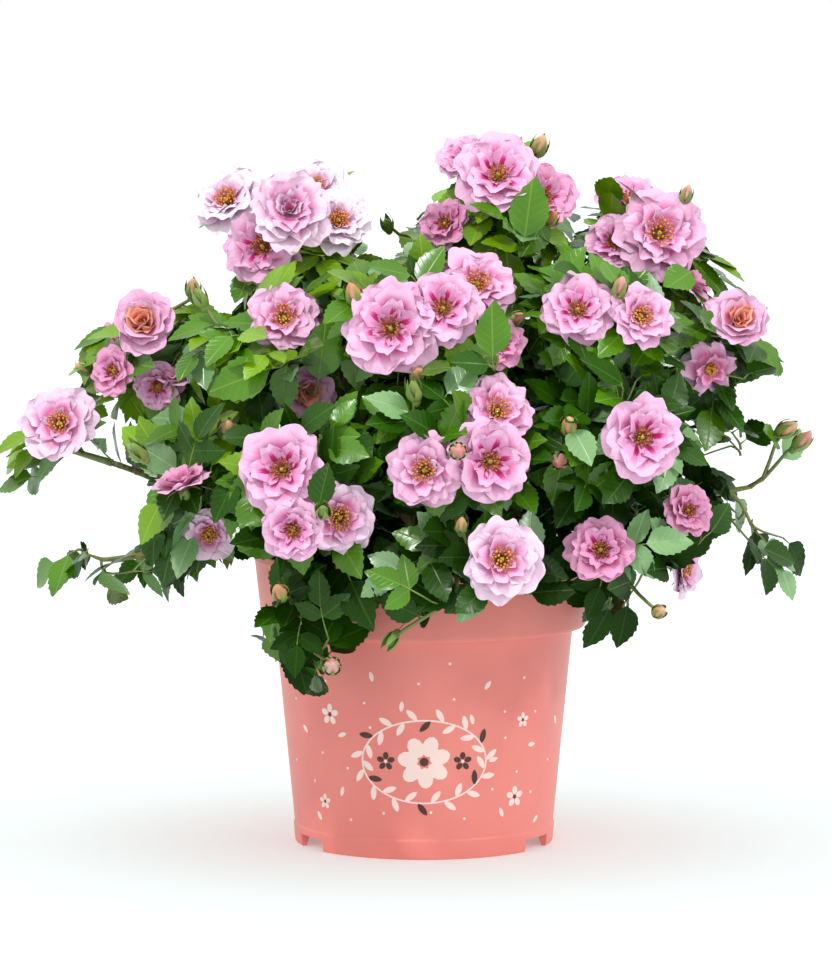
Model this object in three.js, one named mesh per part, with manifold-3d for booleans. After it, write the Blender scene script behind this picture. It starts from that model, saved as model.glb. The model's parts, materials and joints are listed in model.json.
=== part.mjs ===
// A compact shrub rose in its plastic nursery pot, in full bloom.
// Millimetres, +Z up, the side that is shown to the customer towards -Y.
// The origin is the centre of the flat pad under the pot.
//
// The plant is worked out in three steps:
//   1. limbs: canes that leave the stem, and boughs that leave the canes, one for each spray;
//   2. sprays: each keeps to its own space, a cell between flat walls half way to its neighbours;
//   3. in each spray a stem forks into twigs, which end in a bloom, a bud or a leafy tip.
import * as THREE from "three";
import Module from "manifold-3d";

const wasm = await Module();
wasm.setup();

// ---------------------------------------------------------------- driving dimensions
const CLEARANCE = 0.3; // between solids that touch
const WELD = 0.002; // corners nearer than this are the same corner
const SLIVER = 0.03; // joins leave no faces thinner than this
const POT = {
  height: 190,
  rimRadius: 111,
  collarHeight: 48, // the turned-out band under the rim
  collarFootRadius: 106,
  shoulderRadius: 97.4, // the body just under the band
  footRadius: 84.5,
  wall: 2,
  footWidth: 3,
  floorZ: 10, // top of the floor
  padRadius: 26, // the middle of the floor comes down to the ground
  channelZ: 7, // the drain channel round the pad
  sides: 30,
};
const NOTCH = { count: 3, firstBearing: -30, halfAngle: 9.5, height: 8, depth: 16 };
const DRAIN = { count: 4, radius: 5, ring: 55, sides: 6 };
const SOIL = { top: 177, edgeTop: 171, flatRadius: 30 };
const STEM = { footRadius: 18, waistRadius: 14, headRadius: 11, height: 27, sides: 12 };
const CANE = { rootRadius: 4.2, tipRadius: 2.5, sides: 5, steps: 6 };
const BOUGH = { rootRadius: 2.7, tipRadius: 1.9, sides: 5, steps: 4 };
const TWIG = { rootRadius: 1.5, tipRadius: 1.1, sides: 3, longStep: 60 };
const SPRAY_STEM = { tipRadius: 1.4, sides: 4, steps: 2 };
const LEAF = { lengths: [84, 70, 58, 46], breadth: 0.6, thickness: 1.2, arch: 0.1, widestAt: 0.42 };
const BLOOM = { depth: 0.36, dip: 0.1, petals: 5, scallop: 0.86, seat: 0.2 };
const BUD = { width: 12, length: 21 };
const JOINTS = 14; // places on a spray's stem where a twig can leave it
const TIPS_PER_SPRAY = 2;
const TIP_DEPTHS = [0.62, 0.42]; // how far out leafy tips stand, as shares of the half widths
const LEAF_SPACING = 7; // between the blades of two leaves of one spray
const TWIG_ROOM = 3; // between a leaf and the twigs that it isn't on
const BLOOM_ROOM = 0.45; // leaves keep this share of a bloom's width from its middle
// Where leaves stand along a leafy tip, along the twig of a bloom and along the spray's stem.
const LEAF_PLACES = { tip: [1, 0.8, 0.6, 0.4, 0.2], head: [0.75, 0.5, 0.25], stem: [0.98, 0.8, 0.6, 0.4, 0.2] };
const WALL_GAP = 0.6; // each spray stops this far from the wall of its cell
const LIMB_GAP = 1.2; // leaves and twigs stay this far from limbs
// Leaves may pass the spray's own ellipsoid by these factors: little on the side away from the
// stem, which is the outside of the crown, and more towards its neighbours and the stem.
const REACH = { outward: 1.16, inward: 2.3 };
const GOLDEN = [0.7548776662, 0.569840291]; // steps of an even, endless scatter of directions
const LEAF_TURN = 2.39996; // the golden angle between one leaf and the next on a twig
const HEART = new THREE.Vector3(0, 0, 205); // where the canes part
// The hem of the crown, as seen from the front: [across, lowest height] of hanging leaves.
const HEM = [
  [-300, 160], [-185, 158], [-160, 150], [-148, 178], [-112, 180], [-108, 126], [-100, 112], [-84, 92],
  [-70, 92], [-52, 130], [40, 136], [60, 165], [100, 160], [108, 106], [128, 106], [138, 160],
  [180, 178], [203, 212], [212, 162], [240, 156], [300, 165],
];
// Open places in the crown, as seen from the front: [across, up, half width, half height].
const SKY = [
  [-29, 418, 17, 36], [-2, 440, 16, 26], [-215, 225, 34, 29], [-128, 130, 10, 40],
  [234, 224, 24, 26], [264, 352, 40, 45], [205, 442, 48, 42], [-216, 374, 62, 36],
  [-162, 412, 34, 24], [92, 440, 12, 20], [-262, 330, 26, 44], [-262, 200, 24, 22],
  [50, 490, 60, 24], [196, 178, 8, 24], [214, 404, 26, 20], [256, 300, 18, 18],
  [222, 290, 14, 12], [211, 254, 16, 9], [-140, 370, 18, 20], [56, 146, 18, 14],
  [14, 128, 9, 12], [-108, 166, 9, 14], [-24, 134, 7, 10],
];
const FRONT_EYE = new THREE.Vector3(-5, -3000, 500); // from where the front is seen

const COLOURS = {
  pot: 0xe48a80,
  soil: 0x3b2a1e,
  bark: 0x6d6a3c,
  foliage: 0x3d6b22,
};

// Canes leave the stem. "bearing" is the way in which they start, anticlockwise from +X in
// degrees, "rise" how steeply, and "level" how high on the stem.
// Boughs leave another limb, at the share "along" of its length.
// Every limb carries the spray of its own name. A spray is given by its middle, its half
// widths, and what stands on its front: blooms as [across, up, width, stand out],
// buds as [across, up], from its middle. "more" blooms and all leafy tips follow by rule.
// "enter" is the way the limb points where it meets the spray, if not straight out.
// "tips" are leafy tips that are given by hand: [x, y, z] from the spray's middle, and the way
// in which each points.
const SPRAYS = {
  front_mid: {
    bearing: -82, rise: 38, level: 186, at: [18, -142, 268], half: [50, 48, 46],
    blooms: [[25, 44, 50], [-26, -12, 48], [24, -10, 57]], buds: [],
  },
  low_right: {
    bearing: -42, rise: 40, level: 186, at: [132, -98, 196], half: [54, 48, 60],
    blooms: [[-24, 10, 47, 8], [34, 38, 38]], buds: [], more: 1, enter: [0.75, -0.6, -0.1],
    tips: [[-15, -14, -26, 0, -0.1, -1]],
  },
  right_arm: {
    bearing: 0, rise: 42, level: 186, at: [203, -12, 232], half: [46, 44, 62],
    blooms: [], buds: [[26, 42], [36, 30]], more: 2, tips: [[10, 0, -24, 0.37, 0, -0.92]],
  },
  back_right: {
    bearing: 42, rise: 45, level: 186, at: [125, 108, 292], half: [60, 55, 55],
    blooms: [], buds: [], more: 3,
  },
  back_mid: {
    bearing: 88, rise: 42, level: 186, at: [0, 145, 275], half: [58, 52, 52],
    blooms: [], buds: [], more: 3,
  },
  back_left: {
    bearing: 138, rise: 45, level: 186, at: [-128, 104, 290], half: [60, 55, 55],
    blooms: [], buds: [], more: 3,
  },
  left_low: {
    bearing: 194, rise: 42, level: 186, at: [-198, -58, 192], half: [56, 42, 34],
    blooms: [], buds: [], enter: [-0.9, -0.3, -0.15],
    tips: [[-10, 0, -4, -0.95, -0.1, -0.25]],
  },
  front_left: {
    bearing: 236, rise: 38, level: 186, at: [-72, -142, 242], half: [50, 46, 48],
    blooms: [[-17, 18, 58], [-8, -20, 42, 6], [34, -15, 51]], buds: [],
  },
  top_left: {
    bearing: 178, rise: 62, level: 198, at: [-92, -12, 386], half: [60, 56, 50],
    blooms: [[-38, 38, 56], [22, 46, 50], [38, 24, 48], [6, 12, 60, 14], [-16, -10, 56]],
    buds: [], more: 1,
  },
  top_mid: {
    bearing: 28, rise: 68, level: 199, at: [50, -2, 416], half: [52, 50, 46],
    blooms: [[-3, 18, 58, 8], [-25, 33, 38], [33, 6, 48], [-38, -10, 38]], buds: [[22, 33]],
    more: 1,
  },
  top_right: {
    bearing: -36, rise: 60, level: 197, at: [146, -2, 380], half: [56, 54, 48],
    blooms: [[-3, 6, 62, 8], [-30, 10, 42], [38, -24, 42], [-16, -18, 34]], buds: [[20, 38]], more: 1,
  },
  back_top: {
    bearing: 102, rise: 62, level: 198, at: [-8, 72, 380], half: [62, 52, 48],
    blooms: [], buds: [], more: 3,
  },
  crown_front: {
    bearing: -106, rise: 60, level: 198, at: [2, -100, 336], half: [72, 52, 50],
    blooms: [[-20, -4, 63, 8], [10, 22, 52], [48, 38, 53], [56, -6, 34]],
    buds: [],
  },
  left_upper: {
    from: "top_left", along: 0.42, at: [-102, -82, 326], half: [52, 48, 44],
    blooms: [[24, 26, 50], [44, 20, 32], [36, -34, 40, 22]], buds: [],
  },
  left_shoulder: {
    from: "top_left", along: 0.3, at: [-172, -26, 322], half: [50, 54, 46],
    blooms: [[8, 18, 47, 6], [24, -12, 30], [-28, -10, 34], [6, -24, 34]], buds: [[-44, -14]],
    more: 1,
  },
  right: {
    from: "top_right", along: 0.55, at: [196, -34, 322], half: [44, 48, 42],
    blooms: [[2, 20, 42, 6], [-14, -10, 38]], buds: [], more: 1,
  },
  right_upper: {
    from: "top_right", along: 0.45, at: [108, -84, 342], half: [48, 46, 40],
    blooms: [[-12, 14, 48], [26, 6, 42, 6]], buds: [],
  },
  left_mid: {
    from: "front_left", along: 0.5, at: [-145, -100, 246], half: [44, 46, 48],
    blooms: [[-6, 4, 40, 4], [16, -34, 36]], buds: [],
  },
  skirt_left: {
    from: "front_left", along: 0.62, at: [-80, -134, 158], half: [44, 28, 50],
    blooms: [], buds: [[-8, 22], [22, -22]], enter: [-0.25, -0.35, -0.9],
    tips: [[-3, -6, 2, 0, -0.1, -1], [-10, -4, 16, -0.5, -0.1, -0.86]],
  },
  front_low: {
    from: "front_mid", along: 0.5, at: [20, -150, 190], half: [52, 40, 48],
    blooms: [[26, 22, 53, 8]], buds: [[-44, -38]], enter: [0, -0.8, -0.6],
  },
  front_right: {
    from: "low_right", along: 0.4, at: [112, -108, 278], half: [50, 50, 46],
    blooms: [[22, -2, 57, 6]], buds: [],
  },
  left_reach: {
    from: "left_low", along: 0.5, at: [-228, -32, 258], half: [46, 40, 42],
    blooms: [[-2, 24, 52, 4]], buds: [], enter: [-0.95, 0, 0.3],
    tips: [[-4, 0, -2, -0.9, 0, -0.4]],
  },
  back_low_right: {
    from: "back_right", along: 0.45, at: [150, 78, 214], half: [52, 50, 46],
    blooms: [], buds: [], more: 2,
  },
  back_low_left: {
    from: "back_left", along: 0.45, at: [-148, 74, 214], half: [52, 50, 46],
    blooms: [], buds: [], more: 2,
  },
  back_low_mid: {
    from: "back_mid", along: 0.45, at: [2, 150, 200], half: [56, 42, 42],
    blooms: [], buds: [], more: 2, enter: [0, 0.9, -0.4],
  },
};

// ---------------------------------------------------------------- small tools
const point = (a) => new THREE.Vector3(...a);
const radians = THREE.MathUtils.degToRad;

// The same run of numbers from 0 to 1 for the same seed.
function seeded(seed) {
  let state = seed >>> 0;
  return () => {
    state = (state + 0x6d2b79f5) >>> 0;
    let t = Math.imul(state ^ (state >>> 15), state | 1);
    t ^= t + Math.imul(t ^ (t >>> 7), t | 61);
    return ((t ^ (t >>> 14)) >>> 0) / 4294967296;
  };
}

// A closed three.js geometry as a solid that can be joined and cut. Corners within WELD of
// each other become one, and faces that this leaves without an area are dropped.
function solid(geometry) {
  const places = geometry.getAttribute("position");
  const corners = [];
  const numberOf = [...Array(places.count).keys()].map((i) => {
    const place = new THREE.Vector3().fromBufferAttribute(places, i);
    const known = corners.findIndex((corner) => corner.distanceTo(place) < WELD);
    return known < 0 ? corners.push(place) - 1 : known;
  });
  const order = geometry.index ? [...geometry.index.array] : [...numberOf.keys()];
  const faces = [];
  for (let i = 0; i < order.length; i += 3) {
    const [a, b, c] = order.slice(i, i + 3).map((n) => numberOf[n]);
    if (a !== b && b !== c && c !== a) faces.push(a, b, c);
  }
  const mesh = new wasm.Mesh({
    numProp: 3,
    vertProperties: new Float32Array(corners.flatMap((corner) => corner.toArray())),
    triVerts: new Uint32Array(faces),
  });
  return new wasm.Manifold(mesh);
}

function geometryOf(made) {
  const mesh = made.getMesh();
  return new THREE.BufferGeometry()
    .setAttribute("position", new THREE.BufferAttribute(mesh.vertProperties, 3))
    .setIndex(new THREE.BufferAttribute(mesh.triVerts, 1));
}

// The largest body of a join or cut, with no slivers and no two corners within WELD.
function largest(made) {
  const bodies = made.simplify(SLIVER).decompose();
  return solid(geometryOf(bodies.sort((a, b) => b.volume() - a.volume())[0]));
}

// Whether every edge of a solid joins exactly two faces.
function isClean(made) {
  const { vertProperties: v, triVerts } = made.getMesh();
  const name = (i) => [0, 1, 2].map((k) => v[3 * i + k].toFixed(3)).join();
  const uses = new Map();
  for (let i = 0; i < triVerts.length; i++) {
    const next = i % 3 === 2 ? i - 2 : i + 1;
    const edge = [name(triVerts[i]), name(triVerts[next])].sort().join(" ");
    uses.set(edge, (uses.get(edge) ?? 0) + 1);
  }
  return [...uses.values()].every((count) => count === 2);
}

// Joins pieces to the first one. A piece whose join doesn't close cleanly is left out.
function fused(pieces) {
  return pieces.reduce((made, piece) => {
    const next = largest(made.add(piece));
    return isClean(next) ? next : made;
  });
}

// A profile of [radius, height] pairs, from the axis back to the axis, turned round +Z.
function turned(profile, sides) {
  const outline = profile.map(([r, z]) => new THREE.Vector2(r, z));
  return new THREE.LatheGeometry(outline, sides).rotateX(Math.PI / 2);
}

// A closed cylinder that tapers and is bent along a curve.
function limbGeometry(curve, rootRadius, tipRadius, sides, steps) {
  const tube = new THREE.CylinderGeometry(tipRadius, rootRadius, 1, sides, steps);
  const places = tube.getAttribute("position");
  const side = new THREE.Vector3();
  const up = new THREE.Vector3();
  const v = new THREE.Vector3();
  const first = curve.getTangent(0);
  const lead = Math.abs(first.z) < 0.9 ? new THREE.Vector3(0, 0, 1) : new THREE.Vector3(1, 0, 0);
  for (let i = 0; i < places.count; i++) {
    v.fromBufferAttribute(places, i);
    const t = THREE.MathUtils.clamp(v.y + 0.5, 0, 1);
    const tangent = curve.getTangent(t);
    side.crossVectors(lead, tangent).normalize();
    up.crossVectors(tangent, side);
    const placed = curve.getPoint(t).addScaledVector(side, v.x).addScaledVector(up, -v.z);
    places.setXYZ(i, placed.x, placed.y, placed.z);
  }
  return tube;
}

// ---------------------------------------------------------------- pot and soil
function potSolid() {
  const p = POT;
  const collarZ = p.height - p.collarHeight;
  const bodySlope = (p.shoulderRadius - p.footRadius) / collarZ;
  const shell = solid(
    turned(
      [
        [0, 0],
        [p.padRadius, 0],
        [p.padRadius + 4, p.channelZ],
        [p.footRadius - p.footWidth - 2, p.channelZ],
        [p.footRadius - p.footWidth, 0],
        [p.footRadius, 0],
        [p.shoulderRadius, collarZ],
        [p.collarFootRadius - 1, collarZ],
        [p.collarFootRadius, collarZ + 2],
        [p.rimRadius, p.height],
        [p.rimRadius - p.wall, p.height],
        [p.collarFootRadius - p.wall, collarZ + 4],
        [p.shoulderRadius - p.wall, collarZ + 2],
        [p.footRadius + bodySlope * p.floorZ - p.wall, p.floorZ],
        [0, p.floorZ],
      ],
      p.sides,
    ),
  );
  // Each notch is a wedge that is cut out of the foot from outside, into the drain channel.
  const cutters = [];
  for (let i = 0; i < NOTCH.count; i++) {
    const middle = radians(NOTCH.firstBearing + (360 / NOTCH.count) * i);
    const [from, to] = [-1, 1].map((s) => middle + s * radians(NOTCH.halfAngle));
    const wedge = new THREE.Shape();
    wedge.absarc(0, 0, p.footRadius + 8, from, to, false);
    wedge.absarc(0, 0, p.footRadius - NOTCH.depth, to, from, true);
    wedge.closePath();
    const cut = new THREE.ExtrudeGeometry(wedge, {
      depth: NOTCH.height + 1, bevelEnabled: false, curveSegments: 3,
    });
    cutters.push(solid(cut.translate(0, 0, -1)));
  }
  for (let i = 0; i < DRAIN.count; i++) {
    const bearing = radians((360 / DRAIN.count) * i);
    const hole = new THREE.CylinderGeometry(DRAIN.radius, DRAIN.radius, 3 * p.floorZ, DRAIN.sides);
    hole.rotateX(Math.PI / 2);
    hole.translate(DRAIN.ring * Math.cos(bearing), DRAIN.ring * Math.sin(bearing), 0);
    cutters.push(solid(hole));
  }
  return cutters.reduce((made, cut) => made.subtract(cut), shell);
}

function soilSolid() {
  const p = POT;
  const collarZ = p.height - p.collarHeight;
  const gap = 2 * CLEARANCE;
  const bodySlope = (p.shoulderRadius - p.footRadius) / collarZ;
  const collarSlope = (p.rimRadius - p.collarFootRadius) / (p.collarHeight - 4);
  const low = p.footRadius + bodySlope * p.floorZ - p.wall - gap;
  const high = p.collarFootRadius - p.wall - gap;
  return solid(
    turned(
      [
        [0, p.floorZ + CLEARANCE],
        [low, p.floorZ + CLEARANCE],
        [p.shoulderRadius - p.wall - gap, collarZ + 2 + CLEARANCE],
        [high, collarZ + 4 + gap],
        [high + collarSlope * (SOIL.edgeTop - collarZ - 4 - gap), SOIL.edgeTop],
        [SOIL.flatRadius, SOIL.top],
        [0, SOIL.top],
      ],
      p.sides,
    ),
  );
}

// The short woody foot that all canes leave. "grow" fattens it, to cut canes clear of it.
function stemSolid(grow = 0) {
  const s = STEM;
  const foot = SOIL.top + CLEARANCE;
  const profile = [
    [0, foot - grow],
    [s.footRadius + grow, foot - grow],
    [s.waistRadius + grow, foot + s.height * 0.35],
    [s.headRadius + grow, foot + s.height * 0.85 + grow],
    [0, foot + s.height + grow],
  ];
  return solid(turned(profile, s.sides));
}

// ---------------------------------------------------------------- limbs
// The way a limb points where it meets its spray, and the point where it ends.
function entryOf(spray) {
  const middle = point(spray.at);
  const way = spray.enter ? point(spray.enter) : middle.clone().sub(HEART);
  way.normalize();
  const end = middle.clone().sub(way.clone().multiply(point(spray.half)).multiplyScalar(0.62));
  return { way, end };
}

function layOutLimbs() {
  const limbs = {};
  for (const [name, spray] of Object.entries(SPRAYS)) {
    const { way, end } = entryOf(spray);
    const parent = limbs[spray.from];
    let start;
    let lead;
    if (parent) {
      start = parent.curve.getPoint(spray.along);
      const toward = end.clone().sub(start).normalize();
      lead = parent.curve.getTangent(spray.along).add(toward.multiplyScalar(1.3)).normalize();
    } else {
      const bearing = radians(spray.bearing);
      const rise = radians(spray.rise);
      const out = new THREE.Vector3(Math.cos(bearing), Math.sin(bearing), 0);
      start = out.clone().multiplyScalar(STEM.headRadius / 2).setZ(spray.level);
      lead = out.multiplyScalar(Math.cos(rise)).setZ(Math.sin(rise));
    }
    const span = start.distanceTo(end);
    const curve = new THREE.CubicBezierCurve3(
      start,
      start.clone().addScaledVector(lead, span * 0.38),
      end.clone().addScaledVector(way, -span * 0.3),
      end,
    );
    limbs[name] = { name, curve, parent, size: parent ? BOUGH : CANE };
  }
  return limbs;
}

const limbRadius = (limb, t) => THREE.MathUtils.lerp(limb.size.rootRadius, limb.size.tipRadius, t);

function limbSolid(limb, grow = 0) {
  const s = limb.size;
  return solid(limbGeometry(limb.curve, s.rootRadius + grow, s.tipRadius + grow, s.sides, s.steps));
}

// ---------------------------------------------------------------- the space of each spray
// Flat walls between neighbours: a larger spray's wall lies further out.
function wallsOf(name) {
  const spray = SPRAYS[name];
  const middle = point(spray.at);
  const weight = (s) => ((s.half[0] + s.half[1] + s.half[2]) / 3) ** 2;
  return Object.entries(SPRAYS)
    .filter(([other]) => other !== name)
    .map(([, other]) => {
      const toward = point(other.at).sub(middle);
      const apart = toward.length();
      const reach = (apart * apart + weight(spray) - weight(other)) / (2 * apart) - WALL_GAP;
      return { normal: toward.divideScalar(apart), reach };
    });
}

const limbs = layOutLimbs();
const limbPoints = Object.values(limbs).flatMap((limb) => {
  const steps = Math.ceil(limb.curve.getLength() / 4);
  return Array.from({ length: steps + 1 }, (_, i) => ({
    at: limb.curve.getPoint(i / steps),
    radius: limbRadius(limb, i / steps),
  }));
});

// Whether a ball clears every limb, the stem, the soil and the pot.
function clearOfLimbs(at, radius) {
  const out = Math.hypot(at.x, at.y);
  const low = at.z - radius < POT.height + 2;
  if (low && at.z > POT.height - POT.collarHeight && out - radius < POT.rimRadius + 2) {
    return out + radius < POT.rimRadius - 14 && at.z - radius > SOIL.top + 3;
  }
  if (low && out - radius < POT.shoulderRadius + 3) return false;
  const stemTop = SOIL.top + STEM.height + 2;
  if (at.z - radius < stemTop && out - radius < STEM.footRadius + 2) return false;
  return limbPoints.every((p) => p.at.distanceTo(at) > p.radius + radius + LIMB_GAP);
}

const inside = (space, at, radius) =>
  space.walls.every((w) => at.clone().sub(space.middle).dot(w.normal) + radius <= w.reach);

function spaceOf(name) {
  const spray = SPRAYS[name];
  return { middle: point(spray.at), half: point(spray.half), walls: wallsOf(name) };
}

// Whether a leaf's tip stays within the reach of its spray.
function withinReach(space, tip) {
  const from = tip.clone().sub(space.middle);
  const outward = from.clone().normalize().dot(space.middle.clone().sub(HEART).normalize());
  const reach = THREE.MathUtils.mapLinear(outward, -1, 1, REACH.inward, REACH.outward);
  return from.divide(space.half).length() < reach;
}

// Where a point stands on the plane through the stem, as seen from the front.
function seenFromFront(at) {
  const way = at.clone().sub(FRONT_EYE);
  return FRONT_EYE.clone().addScaledVector(way, -FRONT_EYE.y / way.y);
}

// Whether a ball would close one of the open places of the crown.
function closesSky(at, radius = 0) {
  const { x, z } = seenFromFront(at);
  return SKY.some(([cx, cz, hx, hz]) => Math.hypot((x - cx) / (hx + radius), (z - cz) / (hz + radius)) < 1);
}

function belowHem(at) {
  const { x, z } = seenFromFront(at);
  const i = HEM.findIndex(([across]) => across >= x);
  if (i < 1) return z < HEM.at(i)[1];
  const [[x0, z0], [x1, z1]] = HEM.slice(i - 1, i + 1);
  return z < THREE.MathUtils.mapLinear(x, x0, x1, z0, z1);
}

// ---------------------------------------------------------------- what grows in a spray
// Direction number i of an endless even scatter over the sphere.
function scattered(i) {
  const z = 1 - 2 * ((0.5 + GOLDEN[0] * i) % 1);
  const turn = 2 * Math.PI * ((GOLDEN[1] * i) % 1);
  const r = Math.sqrt(1 - z * z);
  return new THREE.Vector3(r * Math.cos(turn), r * Math.sin(turn), z);
}

// The way a bloom faces: square to the spray's outside, with some lean to the light.
function facingOf(space, at) {
  const square = at.clone().sub(space.middle).divide(space.half).divide(space.half).normalize();
  const out = at.clone().sub(HEART).normalize();
  return square.multiplyScalar(0.8).add(out.multiplyScalar(0.5)).add(point([0, -0.15, 0.15])).normalize();
}

// A bloom or bud that is given by hand: its depth is worked out on the front of the spray.
function onFront(space, [across, up, width, standOut = 0]) {
  const { middle, half } = space;
  const depth = Math.sqrt(Math.max(0.04, 1 - (across / half.x) ** 2 - (up / half.z) ** 2));
  const at = middle.clone().add(new THREE.Vector3(across, -half.y * depth, up));
  const facing = facingOf(space, at);
  return { at: at.addScaledVector(facing, standOut), facing, width };
}

// Moves a bloom back until the whole of it is inside its cell.
function pushedInside(space, head) {
  for (let round = 0; round < 4; round++) {
    for (const { normal, reach } of space.walls) {
      const lean = head.facing.dot(normal);
      const radius = (head.width / 2) * Math.sqrt(1 - Math.min(1, lean * lean)) + 2;
      const over = head.at.clone().sub(space.middle).dot(normal) + radius - reach;
      if (over > 0) head.at.addScaledVector(normal, -over);
    }
  }
  return head;
}

function headsOf(name, space, draw) {
  const spray = SPRAYS[name];
  const heads = spray.blooms.map((b) => ({ kind: "bloom", ...pushedInside(space, onFront(space, b)) }));
  for (const [across, up] of spray.buds) {
    const bud = { kind: "bud", ...onFront(space, [across, up, BUD.width, 6]) };
    heads.push(pushedInside(space, bud));
  }
  const out = space.middle.clone().sub(HEART).normalize();
  let wanted = spray.more ?? 0;
  for (let i = 1; i < 40 && wanted > 0; i++) {
    const way = scattered(i);
    const width = 42 + 14 * draw();
    if (way.dot(out) < 0.1 || (spray.at[1] < 60 && way.y < 0.1)) continue;
    const at = space.middle.clone().add(way.multiply(space.half));
    const head = { kind: "bloom", at, facing: facingOf(space, at), width };
    pushedInside(space, head);
    const crowded = heads.some((h) => h.at.distanceTo(head.at) < 0.44 * (h.width + width));
    if (crowded || closesSky(head.at, width * 0.3) || !clearOfLimbs(head.at, width * 0.3)) continue;
    heads.push(head);
    wanted--;
  }
  return heads;
}

// A twig leaves the stem at a joint of its own, the free one that needs the least turn, and
// bends towards its end. "taken" holds the joints that have a twig already.
function twigTo(stem, taken, end, arrive) {
  let best = null;
  for (let joint = 0; joint < JOINTS; joint++) {
    if (taken.has(joint)) continue;
    const t = THREE.MathUtils.lerp(0.15, 0.97, joint / (JOINTS - 1));
    const from = stem.getPoint(t);
    const way = end.clone().sub(from);
    const turn = 1 - stem.getTangent(t).dot(way.clone().normalize());
    const cost = way.length() * (1 + 0.8 * turn);
    if (!best || cost < best.cost) best = { cost, joint, t, from };
  }
  const span = best.from.distanceTo(end);
  const first = best.from.clone().addScaledVector(stem.getTangent(best.t), span * 0.3);
  const last = end.clone().addScaledVector(arrive, -span * 0.35);
  return { joint: best.joint, curve: new THREE.CubicBezierCurve3(best.from, first, last, end) };
}

const alongCurve = (curve, shares) => shares.map((t) => curve.getPoint(t));

function twigFits(space, curve) {
  return alongCurve(curve, [0.35, 0.6, 0.8, 1]).every(
    (p) => inside(space, p, TWIG.rootRadius) && clearOfLimbs(p, TWIG.rootRadius),
  );
}

// Leafy tips that are given by hand.
function givenTips(name, space, stem, taken) {
  return (SPRAYS[name].tips ?? []).map((tip) => {
    const way = point(tip.slice(3)).normalize();
    const at = space.middle.clone().add(point(tip));
    const { joint, curve } = twigTo(stem, taken, at, way);
    taken.add(joint);
    return { kind: "tip", at, facing: way, width: 0, curve };
  });
}

// Leafy tips stand round the spray, short of its outside by the length of their leaves.
function tipsOf(space, heads, stem, taken, count) {
  const out = space.middle.clone().sub(HEART).normalize();
  const tips = [];
  for (let i = 0; i < 60 && tips.length < count; i++) {
    const way = scattered(i);
    if (way.dot(out) < -0.3) continue;
    for (const share of TIP_DEPTHS) {
      const at = space.middle.clone().add(way.clone().multiply(space.half).multiplyScalar(share));
      const { joint, curve } = twigTo(stem, taken, at, way);
      const crowded = heads.some((head) => head.at.distanceTo(at) < head.width * BLOOM_ROOM);
      if (crowded || closesSky(at) || !twigFits(space, curve)) continue;
      taken.add(joint);
      tips.push({ kind: "tip", at, facing: way.clone(), width: 0, curve });
      break;
    }
  }
  return tips;
}

// Points all over a leaf's blade: tip, edges, rib and between.
function leafPoints({ root, way, face, length }) {
  const side = new THREE.Vector3().crossVectors(face, way).normalize();
  const at = (along, across, lift) =>
    root.clone()
      .addScaledVector(way, along * length)
      .addScaledVector(side, across * length)
      .addScaledVector(face, lift * length);
  const { widestAt, breadth, arch } = LEAF;
  const points = [at(1, 0, 0), at(0.5, 0, arch), at(0.25, 0, arch / 2), at(0.75, 0, arch / 2)];
  for (const across of [-breadth / 2, breadth / 2]) {
    points.push(at(widestAt, across, 0), at(0.7, across / 2, 0), at(0.5, across / 2, arch / 2));
  }
  return points;
}

// Whether a leaf keeps to its space and stands clear of blooms, twigs and other leaves.
function leafFits(space, leaf, blocks) {
  const points = leafPoints(leaf);
  if (!withinReach(space, points[0])) return false;
  return points.every(
    (p) =>
      !closesSky(p) &&
      !belowHem(p) &&
      inside(space, p, LEAF.thickness) &&
      clearOfLimbs(p, LEAF.thickness) &&
      blocks.every((block) => block.at.distanceTo(p) > block.radius),
  );
}

// Leaves stand round a twig by the golden angle, each as long as its place allows.
function addLeaves(leaves, space, blocks, curve, shares, turnFrom) {
  shares.forEach((t, i) => {
    const root = curve.getPoint(t);
    const tangent = curve.getTangent(t);
    const out = root.clone().sub(HEART).normalize();
    const flat = new THREE.Vector3().crossVectors(tangent, out).normalize();
    for (let attempt = 0; attempt < 8; attempt++) {
      const turn = turnFrom + LEAF_TURN * (i + attempt);
      const way = flat.clone().applyAxisAngle(tangent, turn);
      way.addScaledVector(tangent, t > 0.97 ? 3 : 0.8).addScaledVector(out, 0.2).normalize();
      const face = out.clone().add(point([0, 0, 0.5]));
      face.addScaledVector(way, -face.dot(way)).normalize();
      const fits = LEAF.lengths
        .map((length) => ({ root, way, face, length }))
        .find((leaf) => leafFits(space, leaf, blocks));
      if (fits) {
        leaves.push(fits);
        blocks.push(...leafPoints(fits).map((at) => ({ at, radius: LEAF_SPACING })));
        return;
      }
    }
  });
}

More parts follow.
